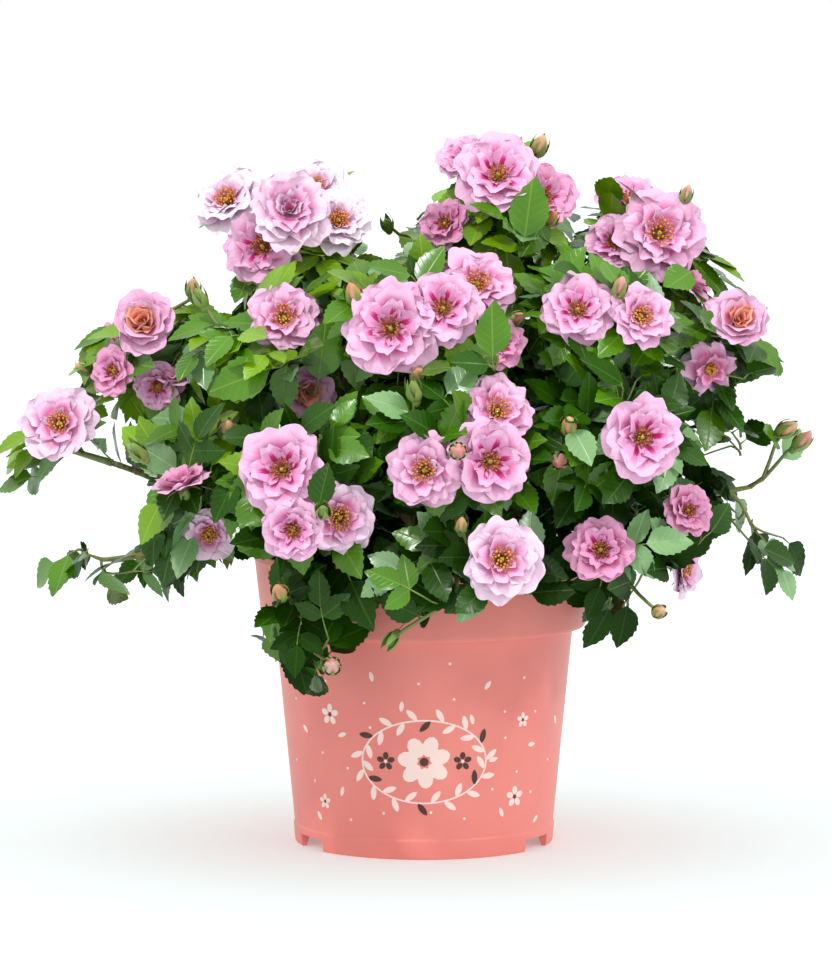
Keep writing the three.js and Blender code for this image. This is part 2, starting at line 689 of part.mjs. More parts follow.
function growSpray(name, seed) {
  const draw = seeded(seed);
  const space = spaceOf(name);
  const limb = limbs[name];
  const from = limb.curve.getPoint(1).addScaledVector(limb.curve.getTangent(1), CLEARANCE);
  const lead = limb.curve.getTangent(1);
  const reach = space.middle.clone().addScaledVector(lead, space.half.length() * 0.12);
  const stem = new THREE.QuadraticBezierCurve3(
    from,
    from.clone().addScaledVector(lead, from.distanceTo(reach) * 0.6),
    reach,
  );
  const heads = headsOf(name, space, draw);
  const taken = new Set();
  const twigs = heads.map((head) => {
    const seat = head.kind === "bloom" ? head.width * BLOOM.seat : 0;
    const end = head.at.clone().addScaledVector(head.facing, -seat);
    const { joint, curve } = twigTo(stem, taken, end, head.facing);
    taken.add(joint);
    return { ...head, curve };
  });
  twigs.push(...givenTips(name, space, stem, taken));
  twigs.push(...tipsOf(space, heads, stem, taken, TIPS_PER_SPRAY));
  const blocks = [stem, ...twigs.map((twig) => twig.curve)].flatMap((curve) =>
    curve.getSpacedPoints(8).slice(1).map((at) => ({ at, radius: TWIG_ROOM })),
  );
  blocks.push(...heads.map((head) => ({ at: head.at, radius: head.width * BLOOM_ROOM })));
  const leaves = [];
  for (const twig of twigs.toReversed()) {
    const shares = twig.kind === "tip" ? LEAF_PLACES.tip : LEAF_PLACES.head;
    addLeaves(leaves, space, blocks, twig.curve, shares, 2 * Math.PI * draw());
  }
  addLeaves(leaves, space, blocks, stem, LEAF_PLACES.stem, 2 * Math.PI * draw());
  return { name, stem, twigs, leaves, limb };
}

// ---------------------------------------------------------------- solids of a spray
// An octahedron drawn out to a leaf: root, tip, two edges, top and underside.
function leafSolid(leaf) {
  const { widestAt, breadth, thickness, arch } = LEAF;
  const blade = new THREE.OctahedronGeometry(1);
  const places = blade.getAttribute("position");
  const side = new THREE.Vector3().crossVectors(leaf.face, leaf.way).normalize();
  for (let i = 0; i < places.count; i++) {
    const [x, y, z] = [places.getX(i), places.getY(i), places.getZ(i)];
    const along = x ? (x > 0 ? leaf.length : -0.5) : leaf.length * (y ? widestAt : 0.5);
    const lift = z ? leaf.length * arch + (z * thickness) / 2 : 0;
    const p = leaf.root.clone()
      .addScaledVector(leaf.way, along)
      .addScaledVector(side, (y * leaf.length * breadth) / 2)
      .addScaledVector(leaf.face, lift);
    places.setXYZ(i, p.x, p.y, p.z);
  }
  return solid(blade);
}

// A shallow cup with a scalloped edge.
function bloomSolid({ at, facing, width }) {
  const sides = BLOOM.petals * 2;
  const cup = turned([[0, -BLOOM.depth * width], [width / 2, 0], [0, -BLOOM.dip * width]], sides);
  const places = cup.getAttribute("position");
  for (let i = 0; i < places.count; i++) {
    const [x, y] = [places.getX(i), places.getY(i)];
    const number = Math.round((Math.atan2(x, -y) / (2 * Math.PI)) * sides);
    const share = number % 2 ? BLOOM.scallop : 1;
    places.setXYZ(i, x * share, y * share, places.getZ(i));
  }
  const turn = new THREE.Quaternion().setFromUnitVectors(new THREE.Vector3(0, 0, 1), facing);
  return solid(cup.applyQuaternion(turn).translate(at.x, at.y, at.z));
}

function budSolid({ at, facing }) {
  const bud = new THREE.OctahedronGeometry(1).scale(BUD.width / 2, BUD.width / 2, BUD.length / 2);
  const turn = new THREE.Quaternion().setFromUnitVectors(new THREE.Vector3(0, 0, 1), facing);
  return solid(bud.applyQuaternion(turn).translate(at.x, at.y, at.z));
}

function spraySolid({ stem, twigs, leaves, limb }) {
  const { sides, steps, tipRadius } = SPRAY_STEM;
  const pieces = [solid(limbGeometry(stem, limb.size.tipRadius, tipRadius, sides, steps))];
  for (const twig of twigs) {
    const t = TWIG;
    const twigSteps = Math.ceil(twig.curve.getLength() / t.longStep);
    const stalk = solid(limbGeometry(twig.curve, t.rootRadius, t.tipRadius, t.sides, twigSteps));
    if (twig.kind === "tip") pieces.push(stalk);
    else pieces.push(stalk.add(twig.kind === "bloom" ? bloomSolid(twig) : budSolid(twig)));
  }
  return fused([...pieces, ...leaves.map(leafSolid)]);
}

// ---------------------------------------------------------------- the whole plant
const plant = new THREE.Group();
const finish = (color, roughness) => new THREE.MeshStandardMaterial({ color, roughness, metalness: 0 });
const potFinish = finish(COLOURS.pot, 0.45);
const soilFinish = finish(COLOURS.soil, 1);
const barkFinish = finish(COLOURS.bark, 0.7);
const foliageFinish = finish(COLOURS.foliage, 0.5);

function show(name, made, material) {
  const mesh = new THREE.Mesh(geometryOf(made), material);
  mesh.name = name;
  plant.add(mesh);
}

show("pot", potSolid(), potFinish);
show("soil", soilSolid(), soilFinish);
show("stem", stemSolid(), barkFinish);
for (const limb of Object.values(limbs)) {
  const carrier = limb.parent ? limbSolid(limb.parent, CLEARANCE) : stemSolid(CLEARANCE);
  show("limb_" + limb.name, largest(limbSolid(limb).subtract(carrier)), barkFinish);
}
Object.keys(SPRAYS).forEach((name, i) => {
  show("spray_" + name, spraySolid(growSpray(name, i + 1)), foliageFinish);
});

export default plant;
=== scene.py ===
# %% [markdown]
# # A shrub rose in its plastic pot
# This lesson dresses a plain model of a patio rose. The plain model gives the pot, the canes
# and one lump of foliage for each spray. Here every spray grows again by the same rule, with
# real leaves, ruffled blooms, buds and fine twigs, and the pot gets its moulded plastic.
# The growth rule works in millimetres, as the plain model does. Meshes are made in metres.

import json
import math

import bmesh
import bpy
import numpy as np
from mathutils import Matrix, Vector

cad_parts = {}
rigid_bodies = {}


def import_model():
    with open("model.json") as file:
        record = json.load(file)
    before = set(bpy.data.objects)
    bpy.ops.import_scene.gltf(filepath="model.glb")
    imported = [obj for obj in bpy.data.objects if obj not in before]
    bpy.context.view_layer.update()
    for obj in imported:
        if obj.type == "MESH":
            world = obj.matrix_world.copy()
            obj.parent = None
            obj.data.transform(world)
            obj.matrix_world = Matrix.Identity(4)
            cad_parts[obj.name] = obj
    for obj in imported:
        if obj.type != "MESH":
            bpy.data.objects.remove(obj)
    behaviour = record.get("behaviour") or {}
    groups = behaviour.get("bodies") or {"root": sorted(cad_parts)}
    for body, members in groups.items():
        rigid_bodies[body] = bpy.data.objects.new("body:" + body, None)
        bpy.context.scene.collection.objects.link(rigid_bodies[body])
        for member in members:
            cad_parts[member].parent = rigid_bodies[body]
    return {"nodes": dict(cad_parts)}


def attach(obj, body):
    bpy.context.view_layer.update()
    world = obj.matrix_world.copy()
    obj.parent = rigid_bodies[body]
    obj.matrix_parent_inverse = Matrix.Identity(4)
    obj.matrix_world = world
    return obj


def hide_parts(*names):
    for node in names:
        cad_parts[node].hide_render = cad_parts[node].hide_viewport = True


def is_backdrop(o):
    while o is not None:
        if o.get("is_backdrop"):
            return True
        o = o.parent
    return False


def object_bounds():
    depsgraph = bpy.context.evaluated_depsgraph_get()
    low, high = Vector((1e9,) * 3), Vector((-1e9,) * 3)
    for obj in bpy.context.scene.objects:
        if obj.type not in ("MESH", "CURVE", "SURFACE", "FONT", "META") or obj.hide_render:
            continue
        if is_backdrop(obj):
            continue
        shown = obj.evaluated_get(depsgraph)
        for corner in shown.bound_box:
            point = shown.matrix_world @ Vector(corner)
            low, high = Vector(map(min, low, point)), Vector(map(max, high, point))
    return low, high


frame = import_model()
cad_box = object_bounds()
MM = 0.001
norm = np.linalg.norm  # the length of a vector
print("nodes in the plain model:", len(frame["nodes"]))

# %% [markdown]
# ## Camera
# The plant stands on a white studio floor and is seen from a little above its own height,
# from three metres away, with a long lens. A long lens keeps the pot's sides almost straight.
# The lens is worked out from how wide a strip the view shows at the plant.

# %% Place the camera
CAMERA_BACK = 3.0  # metres in front of the plant
CAMERA_UP = 0.5
AIM = Vector((-0.0052, 0.0, 0.2365))
SHOWN_WIDTH = 0.5433  # metres across the view at the plant
scene = bpy.context.scene


def in_scene(name, data):
    made = bpy.data.objects.new(name, data)
    scene.collection.objects.link(made)
    return made


camera_data = bpy.data.cameras.new("camera")
camera_data.sensor_fit = "HORIZONTAL"
camera = in_scene("camera", camera_data)
camera.location = (AIM.x, -CAMERA_BACK, CAMERA_UP)
camera.rotation_euler = (AIM - camera.location).to_track_quat("-Z", "Y").to_euler()
distance = (AIM - camera.location).length
camera_data.lens = camera_data.sensor_width * distance / SHOWN_WIDTH
scene.camera = camera
print("lens in mm:", round(camera_data.lens, 1))

# %% [markdown]
# ## Light
# The plant stands on white, which shows its outline well. The key lamp is high on the left in
# front, like the sun, and small, so that glossy leaves get crisp highlights. A weaker, wider
# lamp on the right softens the far side, and the white surroundings light the rest.

# %% Light the studio
scene.view_settings.view_transform = "Standard"
world = bpy.data.worlds.new("white_studio")
scene.world = world
world.use_nodes = True
world.node_tree.nodes["Background"].inputs["Color"].default_value = (1, 1, 1, 1)
world.node_tree.nodes["Background"].inputs["Strength"].default_value = 1.0

# name: (place, size in metres, watts)
LIGHTS = {
    "key_light": ((-0.7, -1.3, 2.2), 0.14, 27),
    "side_light": ((1.5, -1.0, 1.5), 0.3, 14),
}
LIT_AT = Vector((0, 0, 0.25))  # both lamps point at the middle of the plant
for name, (place, size, watts) in LIGHTS.items():
    data = bpy.data.lights.new(name, "AREA")
    data.shape = "DISK"
    data.size = size
    data.energy = watts
    light = in_scene(name, data)
    light.location = place
    light.rotation_euler = (LIT_AT - light.location).to_track_quat("-Z", "Y").to_euler()
print("lamps:", ", ".join(LIGHTS))

# %% [markdown]
# ## Small helpers for finishes
# Colours are written as sRGB hex, and one function turns them to linear values. Another adds
# any node, sets it up and links it, and the last begins a material.

# %% Helpers for finishes
def linear(code):
    """The linear colour of an sRGB hex code, with full alpha."""
    parts = [int(code[i : i + 2], 16) / 255 for i in (1, 3, 5)]
    return tuple(p / 12.92 if p <= 0.04045 else ((p + 0.055) / 1.055) ** 2.4 for p in parts) + (1.0,)


def add_node(tree, kind, inputs=None, **settings):
    """Adds a node. An input that is given a socket is linked to it, any other is set."""
    made = tree.nodes.new(kind)
    for key, value in settings.items():
        setattr(made, key, value)
    for key, value in (inputs or {}).items():
        if isinstance(value, bpy.types.NodeSocket):
            tree.links.new(value, made.inputs[key])
        else:
            made.inputs[key].default_value = value
    return made


def new_finish(name, colour, roughness, more=None):
    """A material with one Principled shader, its tree and its shader."""
    material = bpy.data.materials.new(name)
    material.use_nodes = True
    shader = material.node_tree.nodes["Principled BSDF"]
    inputs = {"Base Color": linear(colour), "Roughness": roughness} | (more or {})
    for key, value in inputs.items():
        shader.inputs[key].default_value = value
    material.diffuse_color = linear(colour)
    return material, material.node_tree, shader


# %% [markdown]
# ## Floor
# The floor is not part of the plant. A wide flat sheet of matt white is enough: it runs out of
# sight on all sides. The two lamps pass it by, as they do when a plant stands on a light
# table, so only the white surroundings light it and leave an even soft shadow round the pot.

# %% Lay the floor
FLOOR_HALF = 30.0
floor_mesh = bpy.data.meshes.new("studio_floor")
corners = [(-FLOOR_HALF, -FLOOR_HALF, 0), (FLOOR_HALF, -FLOOR_HALF, 0)]
corners += [(FLOOR_HALF, FLOOR_HALF, 0), (-FLOOR_HALF, FLOOR_HALF, 0)]
floor_mesh.from_pydata(corners, [], [(0, 1, 2, 3)])
floor = in_scene("studio_floor", floor_mesh)
from_below = {"Emission Color": (1, 1, 1, 1), "Emission Strength": 0.24}  # through the sheet
sheet = new_finish("matt_white_sheet", "#f0fafa", 0.9, {"Specular IOR Level": 0.0} | from_below)
floor_mesh.materials.append(sheet[0])
unlit = bpy.data.collections.new("not_lit_by_lamps")
unlit.objects.link(floor)
unlit.collection_objects[0].light_linking.link_state = "EXCLUDE"
for name in LIGHTS:
    bpy.data.objects[name].light_linking.receiver_collection = unlit
floor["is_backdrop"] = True
print("floor, metres across:", 2 * FLOOR_HALF)

# %% [markdown]
# ## The rule of growth: sizes
# These are the driving sizes of the plain model, in millimetres: the pot that the plant
# stands in, the canes and boughs, and the room that each spray of foliage keeps to. The hem
# and the open places shape the crown's outline, since leaves keep out of them.

# %% Sizes of pot and plant
POT = {
    "height": 190, "rim": 111, "collar_height": 48, "collar_foot": 106,
    "shoulder": 97.4, "foot": 84.5, "wall": 2, "foot_width": 3, "floor": 10, "pad": 26, "channel": 7,
}
SOIL_TOP, SOIL_EDGE = 177, 171
STEM = {"foot": 18, "head": 11, "height": 27}
CANE = (4.2, 2.5)  # radius at root and tip
BOUGH = (2.7, 1.9)
TWIG = (1.5, 1.1)
SPRAY_STEM_TIP = 1.4
GAP = 0.3  # between a cane's tip and the stem of its spray
JOINTS = 14  # places for a twig on the stem of a spray
TIPS_PER_SPRAY = 2
TIP_DEPTHS = (0.62, 0.42)  # how far out leafy tips stand, as shares of the spray's half width
BLOOM_ROOM = 0.45  # tips keep this share of a bloom's width away from its middle
BLOOM_SEAT = 0.2  # a bloom's foot is this share of its width behind its middle
BUD_WIDTH, BUD_STAND_OUT = 12, 6
WALL_GAP = 0.6  # between a spray and the flat wall half way to the next
LIMB_GAP = 1.2  # between growth and a cane
REACH_OUT, REACH_IN = 1.16, 2.3  # how far leaves reach, in half widths of the spray
GOLDEN = (0.7548776662, 0.569840291)  # steps of an even scatter in two dimensions
LEAF_TURN = 2.39996  # the golden angle
HEART = np.array((0.0, 0.0, 205.0))  # sprays point away from here
FRONT_EYE = np.array((-5.0, -3000.0, 500.0))  # from where the front is seen
# The hem of the crown, as seen from the front: (across, lowest height) of hanging leaves.
HEM = np.array((
    (-300, 160), (-185, 158), (-160, 150), (-148, 178), (-112, 180), (-108, 126), (-100, 112),
    (-84, 92), (-70, 92), (-52, 130), (40, 136), (60, 165), (100, 160), (108, 106), (128, 106), (138, 160),
    (180, 178), (203, 212), (212, 162), (240, 156), (300, 165),
))
# Open places in the crown, as seen from the front: (across, up, half width, half height).
SKY = np.array((
    (-29, 418, 17, 36), (-2, 440, 16, 26), (-215, 225, 34, 29), (-128, 130, 10, 40),
    (234, 224, 24, 26), (264, 352, 40, 45), (205, 442, 48, 42), (-216, 374, 62, 36),
    (-162, 412, 34, 24), (92, 440, 12, 20), (-262, 330, 26, 44), (-262, 200, 24, 22),
    (50, 490, 60, 24), (196, 178, 8, 24), (214, 404, 26, 20), (256, 300, 18, 18),
    (222, 290, 14, 12), (211, 254, 16, 9), (-140, 370, 18, 20), (56, 146, 18, 14),
    (14, 128, 9, 12), (-108, 166, 9, 14), (-24, 134, 7, 10),
))
print("pot, mm:", 2 * POT["rim"], "across the rim and", POT["height"], "high")

# %% [markdown]
# ## The sprays
# Each spray has its middle, its half widths, and the blooms and buds on its front. A bloom is
# (across, up, width, stand out, kind) from the spray's middle, and a bud (across, up). The kinds
# are: pale, white and pink are wide open, deep is smaller and darker, gold shows orange stamens
# and no dark flare, double stays closed over its eye, cupped is young with a salmon heart, side
# is half open and seen from beside, faded has passed its best. "more" is how many blooms the
# rule adds. "late" buds and "leaves" are small things that the plain model leaves out: a leaf is
# (across, up, stand out, length, bearing), a large single one whose bearing is in degrees from
# upright. "tips" are leafy tips: a place from the spray's middle and the way in which it points.
# "leafy" is the share of leaves that a loose spray keeps, so that light comes through it.

# %% Table of sprays
def spray(at, half, blooms=(), buds=(), more=0, start=None, parent=None, enter=None, tips=(), late=(),
          leaves=(), leafy=1.0):
    return {
        "at": np.array(at, float), "half": np.array(half, float), "blooms": blooms, "buds": buds,
        "more": more, "start": start, "parent": parent, "enter": enter, "tips": tips, "late": late,
        "leaves": leaves, "leafy": leafy,
    }


# start is (bearing, rise, level) on the stem; parent is (limb, share of its length).
SPRAYS = {
    "front_mid": spray(
        (18, -142, 268), (50, 48, 46), start=(-82, 38, 186), late=((2, 2), (-24, 38)),
        blooms=((25, 44, 50, 0, "gold"), (-26, -12, 48, 0, "gold"), (24, -10, 57, 0, "pink")),
    ),
    "low_right": spray(
        (132, -98, 196), (54, 48, 60), start=(-42, 40, 186), more=1, enter=(0.75, -0.6, -0.1), leafy=0.6,
        tips=((-15, -14, -26, 0, -0.1, -1),),
        blooms=((-24, 10, 47, 8, "deep"), (34, 38, 38, 0, "deep")), late=((12, -28),),
    ),
    "right_arm": spray(
        (203, -12, 232), (46, 44, 62), start=(0, 42, 186), buds=((26, 42), (36, 30)), more=2, leafy=0.5,
        tips=((10, 0, -24, 0.37, 0, -0.92),),
    ),
    "back_right": spray((125, 108, 292), (60, 55, 55), start=(42, 45, 186), more=3),
    "back_mid": spray((0, 145, 275), (58, 52, 52), start=(88, 42, 186), more=3),
    "back_left": spray((-128, 104, 290), (60, 55, 55), start=(138, 45, 186), more=3),
    "left_low": spray(
        (-198, -58, 192), (56, 42, 34), start=(194, 42, 186), enter=(-0.9, -0.3, -0.15), leafy=0.25,
        tips=((-10, 0, -4, -0.95, -0.1, -0.25),),
    ),
    "front_left": spray(
        (-72, -142, 242), (50, 46, 48), start=(236, 38, 186), late=((10, -8),),
        blooms=((-17, 18, 58, 0, "pink"), (-8, -20, 42, 6, "pink"), (34, -15, 51, 0, "pale")),
    ),
    "top_left": spray(
        (-92, -12, 386), (60, 56, 50), start=(178, 62, 198), more=1,
        blooms=(
            (-38, 38, 56, 0, "white"), (22, 46, 50, 0, "white"), (38, 24, 48, 0, "white"),
            (6, 12, 60, 14, "double"), (-16, -10, 56, 0, "pink"),
        ),
    ),
    "top_mid": spray(
        (50, -2, 416), (52, 50, 46), start=(28, 68, 199), buds=((22, 33),), more=1,
        blooms=(
            (-3, 18, 58, 8, "pink"), (-25, 33, 38, 0, "pink"), (33, 6, 48, 0, "deep"),
            (-38, -10, 38, 0, "deep"),
        ),
        late=((28, -10),), leaves=((8, -27, 17, 45, 4),),
    ),
    "top_right": spray(
        (146, -2, 380), (56, 54, 48), start=(-36, 60, 197), buds=((20, 38),), more=1,
        blooms=(
            (-3, 6, 62, 8, "gold"), (-30, 10, 42, 0, "pink"), (38, -24, 42, 0, "side"),
            (-16, -18, 34, 0, "pink"),
        ),
        leaves=((-26, 22, -32, 48, 8),),
    ),
    "back_top": spray((-8, 72, 380), (62, 52, 48), start=(102, 62, 198), more=3, late=((-15, 18),)),
    "crown_front": spray(
        (2, -100, 336), (72, 52, 50), start=(-106, 60, 198), late=((-4, -28), (-44, 24), (68, 10)),
        blooms=(
            (-20, -4, 63, 8, "pink"), (10, 22, 52, 0, "pink"), (48, 38, 53, 0, "gold"),
            (56, -6, 34, 0, "deep"),
        ),
        leaves=((36, -16, 12, 40, -4),),
    ),
    "left_upper": spray(
        (-102, -82, 326), (52, 48, 44), parent=("top_left", 0.42), late=((-36, 30),),
        blooms=((24, 26, 50, 0, "gold"), (44, 20, 32, 0, "pink"), (36, -34, 40, 22, "cupped")),
        leaves=((34, -22, 2, 46, 3), (12, -8, 4, 48, -104)),
    ),
    "left_shoulder": spray(
        (-172, -26, 322), (50, 54, 46), parent=("top_left", 0.3), buds=((-44, -14),), more=1,
        blooms=(
            (8, 18, 47, 6, "cupped"), (24, -12, 30, 0, "side"), (-28, -10, 34, 0, "deep"),
            (6, -24, 34, 0, "pink"),
        ),
        late=((24, 36),),
    ),
    "right": spray(
        (196, -34, 322), (44, 48, 42), parent=("top_right", 0.55), more=1,
        blooms=((2, 20, 42, 6, "cupped"), (-14, -10, 38, 0, "faded")),
    ),
    "right_upper": spray(
        (108, -84, 342), (48, 46, 40), parent=("top_right", 0.45), late=((12, 22),),
        blooms=((-12, 14, 48, 0, "pink"), (26, 6, 42, 6, "gold")),
    ),
    "left_mid": spray(
        (-145, -100, 246), (44, 46, 48), parent=("front_left", 0.5), late=((-30, 18), (22, 30)),
        blooms=((-6, 4, 40, 4, "side"), (16, -34, 36, 0, "pale")),
    ),
    "skirt_left": spray(
        (-80, -134, 158), (44, 28, 50), parent=("front_left", 0.62), buds=((-8, 22), (22, -22)),
        enter=(-0.25, -0.35, -0.9), leafy=0.7,
        tips=((-3, -6, 2, 0, -0.1, -1), (-10, -4, 16, -0.5, -0.1, -0.86)),
    ),
    "front_low": spray(
        (20, -150, 190), (52, 40, 48), parent=("front_mid", 0.5), buds=((-44, -38),),
        enter=(0, -0.8, -0.6), blooms=((26, 22, 53, 8, "pale"),), late=((2, 42),), leafy=0.7,
    ),
    "front_right": spray(
        (112, -108, 278), (50, 50, 46), parent=("low_right", 0.4), late=((-22, 4), (-28, -16)),
        blooms=((22, -2, 57, 6, "pink"),),
    ),
    "left_reach": spray(
        (-228, -32, 258), (46, 40, 42), parent=("left_low", 0.5), enter=(-0.95, 0, 0.3), leafy=0.35,
        tips=((-4, 0, -2, -0.9, 0, -0.4),), blooms=((-2, 24, 52, 4, "pale"),),
    ),
    "back_low_right": spray(
        (150, 78, 214), (52, 50, 46), parent=("back_right", 0.45), more=2, leafy=0.4,
    ),
    "back_low_left": spray(
        (-148, 74, 214), (52, 50, 46), parent=("back_left", 0.45), more=2, leafy=0.4,
    ),
    "back_low_mid": spray(
        (2, 150, 200), (56, 42, 42), parent=("back_mid", 0.45), more=2, enter=(0, 0.9, -0.4),
    ),
}
print("sprays:", len(SPRAYS))

# %% [markdown]
# ## Curves and chance
# All limbs and twigs are Bezier curves, given by their control points. Chance comes from a
# small seeded run of numbers, so that the plant grows the same way each time.

# %% Curves and seeded numbers
WORD = 0xFFFFFFFF  # keeps a whole number to 32 bits
SEED_STEP = 0x6D2B79F5


def seeded(seed):
    """The same run of numbers from 0 to 1 for the same seed."""
    state = seed & WORD

    def draw():
        nonlocal state
        state = (state + SEED_STEP) & WORD
        t = ((state ^ (state >> 15)) * (state | 1)) & WORD
        t ^= (t + (((t ^ (t >> 7)) * (t | 61)) & WORD)) & WORD
        return ((t ^ (t >> 14)) & WORD) / (WORD + 1)

    return draw


def unit(v):
    return v / norm(v, axis=-1, keepdims=True)


def along(curve, shares):
    """Points of a Bezier curve at the given shares of it."""
    t = np.atleast_1d(np.asarray(shares, float))[:, None]
    n = len(curve) - 1
    return sum(math.comb(n, i) * (1 - t) ** (n - i) * t**i * curve[i] for i in range(n + 1))


def way_at(curve, shares):
    """The way in which a curve runs at the given shares of it."""
    return unit(along(np.diff(curve, axis=0), shares))


def length_of(curve):
    steps = np.diff(along(curve, np.linspace(0, 1, 60)), axis=0)
    return float(norm(steps, axis=1).sum())


sample = seeded(1)
print("the first numbers of run 1:", [round(sample(), 3) for _ in range(3)])

# %% [markdown]
# ## Limbs
# Canes leave the stem in two rings and boughs leave the canes. Each ends where its spray
# begins, and points there the way that the spray grows.

# %% Lay out the limbs
LIMB_END = 0.62  # how far a limb ends from its spray's middle, as a share of the half width
FORWARD = 1.3  # how much a bough turns to where it ends, against the way of its carrier
LIMB_HANDLES = (0.38, 0.3)  # how far a limb runs straight at both ends, as shares of its span
POINT_STEP = 4  # mm between the points that stand for a limb


def limb_curve(name, limbs):
    data = SPRAYS[name]
    way = unit(np.array(data["enter"], float) if data["enter"] else data["at"] - HEART)
    end = data["at"] - way * data["half"] * LIMB_END
    if data["parent"]:
        carrier, share = data["parent"]
        start = along(limbs[carrier], share)[0]
        lead = unit(way_at(limbs[carrier], share)[0] + FORWARD * unit(end - start))
    else:
        bearing, rise = (math.radians(a) for a in data["start"][:2])
        out = np.array((math.cos(bearing), math.sin(bearing), 0.0))
        start = out * STEM["head"] / 2 + (0, 0, data["start"][2])
        lead = out * math.cos(rise) + (0, 0, math.sin(rise))
    span = norm(end - start)
    leaving, arriving = LIMB_HANDLES
    return np.array((start, start + lead * span * leaving, end - way * span * arriving, end))


limbs = {}
for name in SPRAYS:
    limbs[name] = limb_curve(name, limbs)
limb_radii = {name: BOUGH if SPRAYS[name]["parent"] else CANE for name in SPRAYS}

limb_at, limb_thick = [], []
for name, curve in limbs.items():
    shares = np.linspace(0, 1, math.ceil(length_of(curve) / POINT_STEP) + 1)
    root_radius, tip_radius = limb_radii[name]
    limb_at.append(along(curve, shares))
    limb_thick.append(root_radius + (tip_radius - root_radius) * shares)
limb_at, limb_thick = np.concatenate(limb_at), np.concatenate(limb_thick)
print("limbs:", len(limbs), "with", len(limb_at), "points to keep clear of")

# %% [markdown]
# ## Room to grow
# A spray keeps inside flat walls half way to its neighbours, and clear of the canes, the
# stem, the compost and the pot. Leaves reach little past the spray's outside, which is the
# outside of the whole crown, and further towards its neighbours. Some places stay open, so
# that the sky shows between the sprays, and no leaf hangs below the hem of the crown.

# %% Walls and clearances
KEEP_OFF, KEEP_FAR_OFF = 2, 3  # mm from the pot and the stem
MOUTH_EDGE = 14  # growth may come down to the compost this far inside the rim


def space_of(name):
    """The room of a spray: its middle, its half widths and the flat walls round it."""
    me = SPRAYS[name]
    weight = {n: np.mean(s["half"]) ** 2 for n, s in SPRAYS.items()}
    others = [n for n in SPRAYS if n != name]
    toward = np.array([SPRAYS[n]["at"] - me["at"] for n in others])
    apart = norm(toward, axis=1)
    reach = (apart**2 + weight[name] - np.array([weight[n] for n in others])) / (2 * apart) - WALL_GAP
    return {"middle": me["at"], "half": me["half"], "walls": toward / apart[:, None], "reach": reach}


def inside(space, points, radius):
    depth = (points - space["middle"]) @ space["walls"].T + radius
    return bool((depth <= space["reach"]).all())


def clear_of_limbs(points, radius):
    """Whether balls at the points keep off the pot, the compost, the stem and every limb."""
    out = np.hypot(points[:, 0], points[:, 1])
    nearest, lowest = out - radius, points[:, 2] - radius
    low = lowest < POT["height"] + KEEP_OFF
    above_body = points[:, 2] > POT["height"] - POT["collar_height"]
    collar = low & above_body & (nearest < POT["rim"] + KEEP_OFF)
    in_mouth = (out + radius < POT["rim"] - MOUTH_EDGE) & (lowest > SOIL_TOP + KEEP_FAR_OFF)
    at_body = low & ~collar & (nearest < POT["shoulder"] + KEEP_FAR_OFF)
    beside_stem = lowest < SOIL_TOP + STEM["height"] + KEEP_OFF
    at_stem = ~collar & beside_stem & (nearest < STEM["foot"] + KEEP_OFF)
    apart = norm(points[:, None] - limb_at[None], axis=2)
    near_limb = ~collar & (apart <= limb_thick + radius + LIMB_GAP).any(axis=1)
    return not ((collar & ~in_mouth) | at_body | at_stem | near_limb).any()


def seen_from_front(points):
    """Where points stand on the plane through the stem, as (across, up)."""
    back = -FRONT_EYE[1]
    return (FRONT_EYE + (points - FRONT_EYE) * (back / (points[:, 1:2] + back)))[:, [0, 2]]


def closes_sky(points, radius=0.0):
    """Whether any of the points, grown by a radius, would close an open place of the crown."""
    offset = seen_from_front(points)[:, None] - SKY[:, :2]
    return bool((norm(offset / (SKY[:, 2:] + radius), axis=2) < 1).any())


def below_hem(points):
    across, up = seen_from_front(points).T
    return bool((up < np.interp(across, HEM[:, 0], HEM[:, 1])).any())


def within_reach(space, tip):
    """Whether a leaf's tip stays near its spray, nearer on the outside of the crown."""
    offset = tip - space["middle"]
    outward = unit(offset) @ unit(space["middle"] - HEART)
    reach = REACH_IN + (REACH_OUT - REACH_IN) * (outward + 1) / 2
    return norm(offset / space["half"]) < reach


print("walls round each spray:", len(space_of("front_mid")["reach"]))

# %% [markdown]
# ## Heads
# First come the blooms and buds that are listed in the table, which stand on the front of the
# spray's egg shape, then more blooms in an even scatter over it. Each is pushed back inside
# the spray's walls, and faces outwards, a little to the front and up.

# %% Place the heads
PUSHES = 4  # rounds of pushing a head inside the walls
HEAD_MARGIN = 2  # mm between a head and a wall
SMALLEST_NEW, NEW_SPREAD = 42, 14  # width of a scattered bloom, and what chance adds
CROWDING = 0.44  # of the sum of two widths: no scattered bloom is nearer to another
HEART_OF_BLOOM = 0.3  # of its width: the radius that keeps clear of canes and open places


def scattered(i):
    """Direction number i of an even, endless scatter over the sphere."""
    z = 1 - 2 * ((0.5 + GOLDEN[0] * i) % 1)
    turn = 2 * math.pi * ((GOLDEN[1] * i) % 1)
    r = math.sqrt(1 - z * z)
    return np.array((r * math.cos(turn), r * math.sin(turn), z))


def facing_of(space, at):
    square = unit((at - space["middle"]) / space["half"] / space["half"])
    return unit(0.8 * square + 0.5 * unit(at - HEART) + (0, -0.15, 0.15))


def on_front(space, across, up, width, stand_out=0):
    """A head on the front of a spray. It can stand out from there, or sink in."""
    share = 1 - (across / space["half"][0]) ** 2 - (up / space["half"][2]) ** 2
    depth = math.sqrt(max(0.04, share))
    at = space["middle"] + (across, -space["half"][1] * depth, up)
    facing = facing_of(space, at)
    return {"at": at + facing * stand_out, "facing": facing, "width": width}


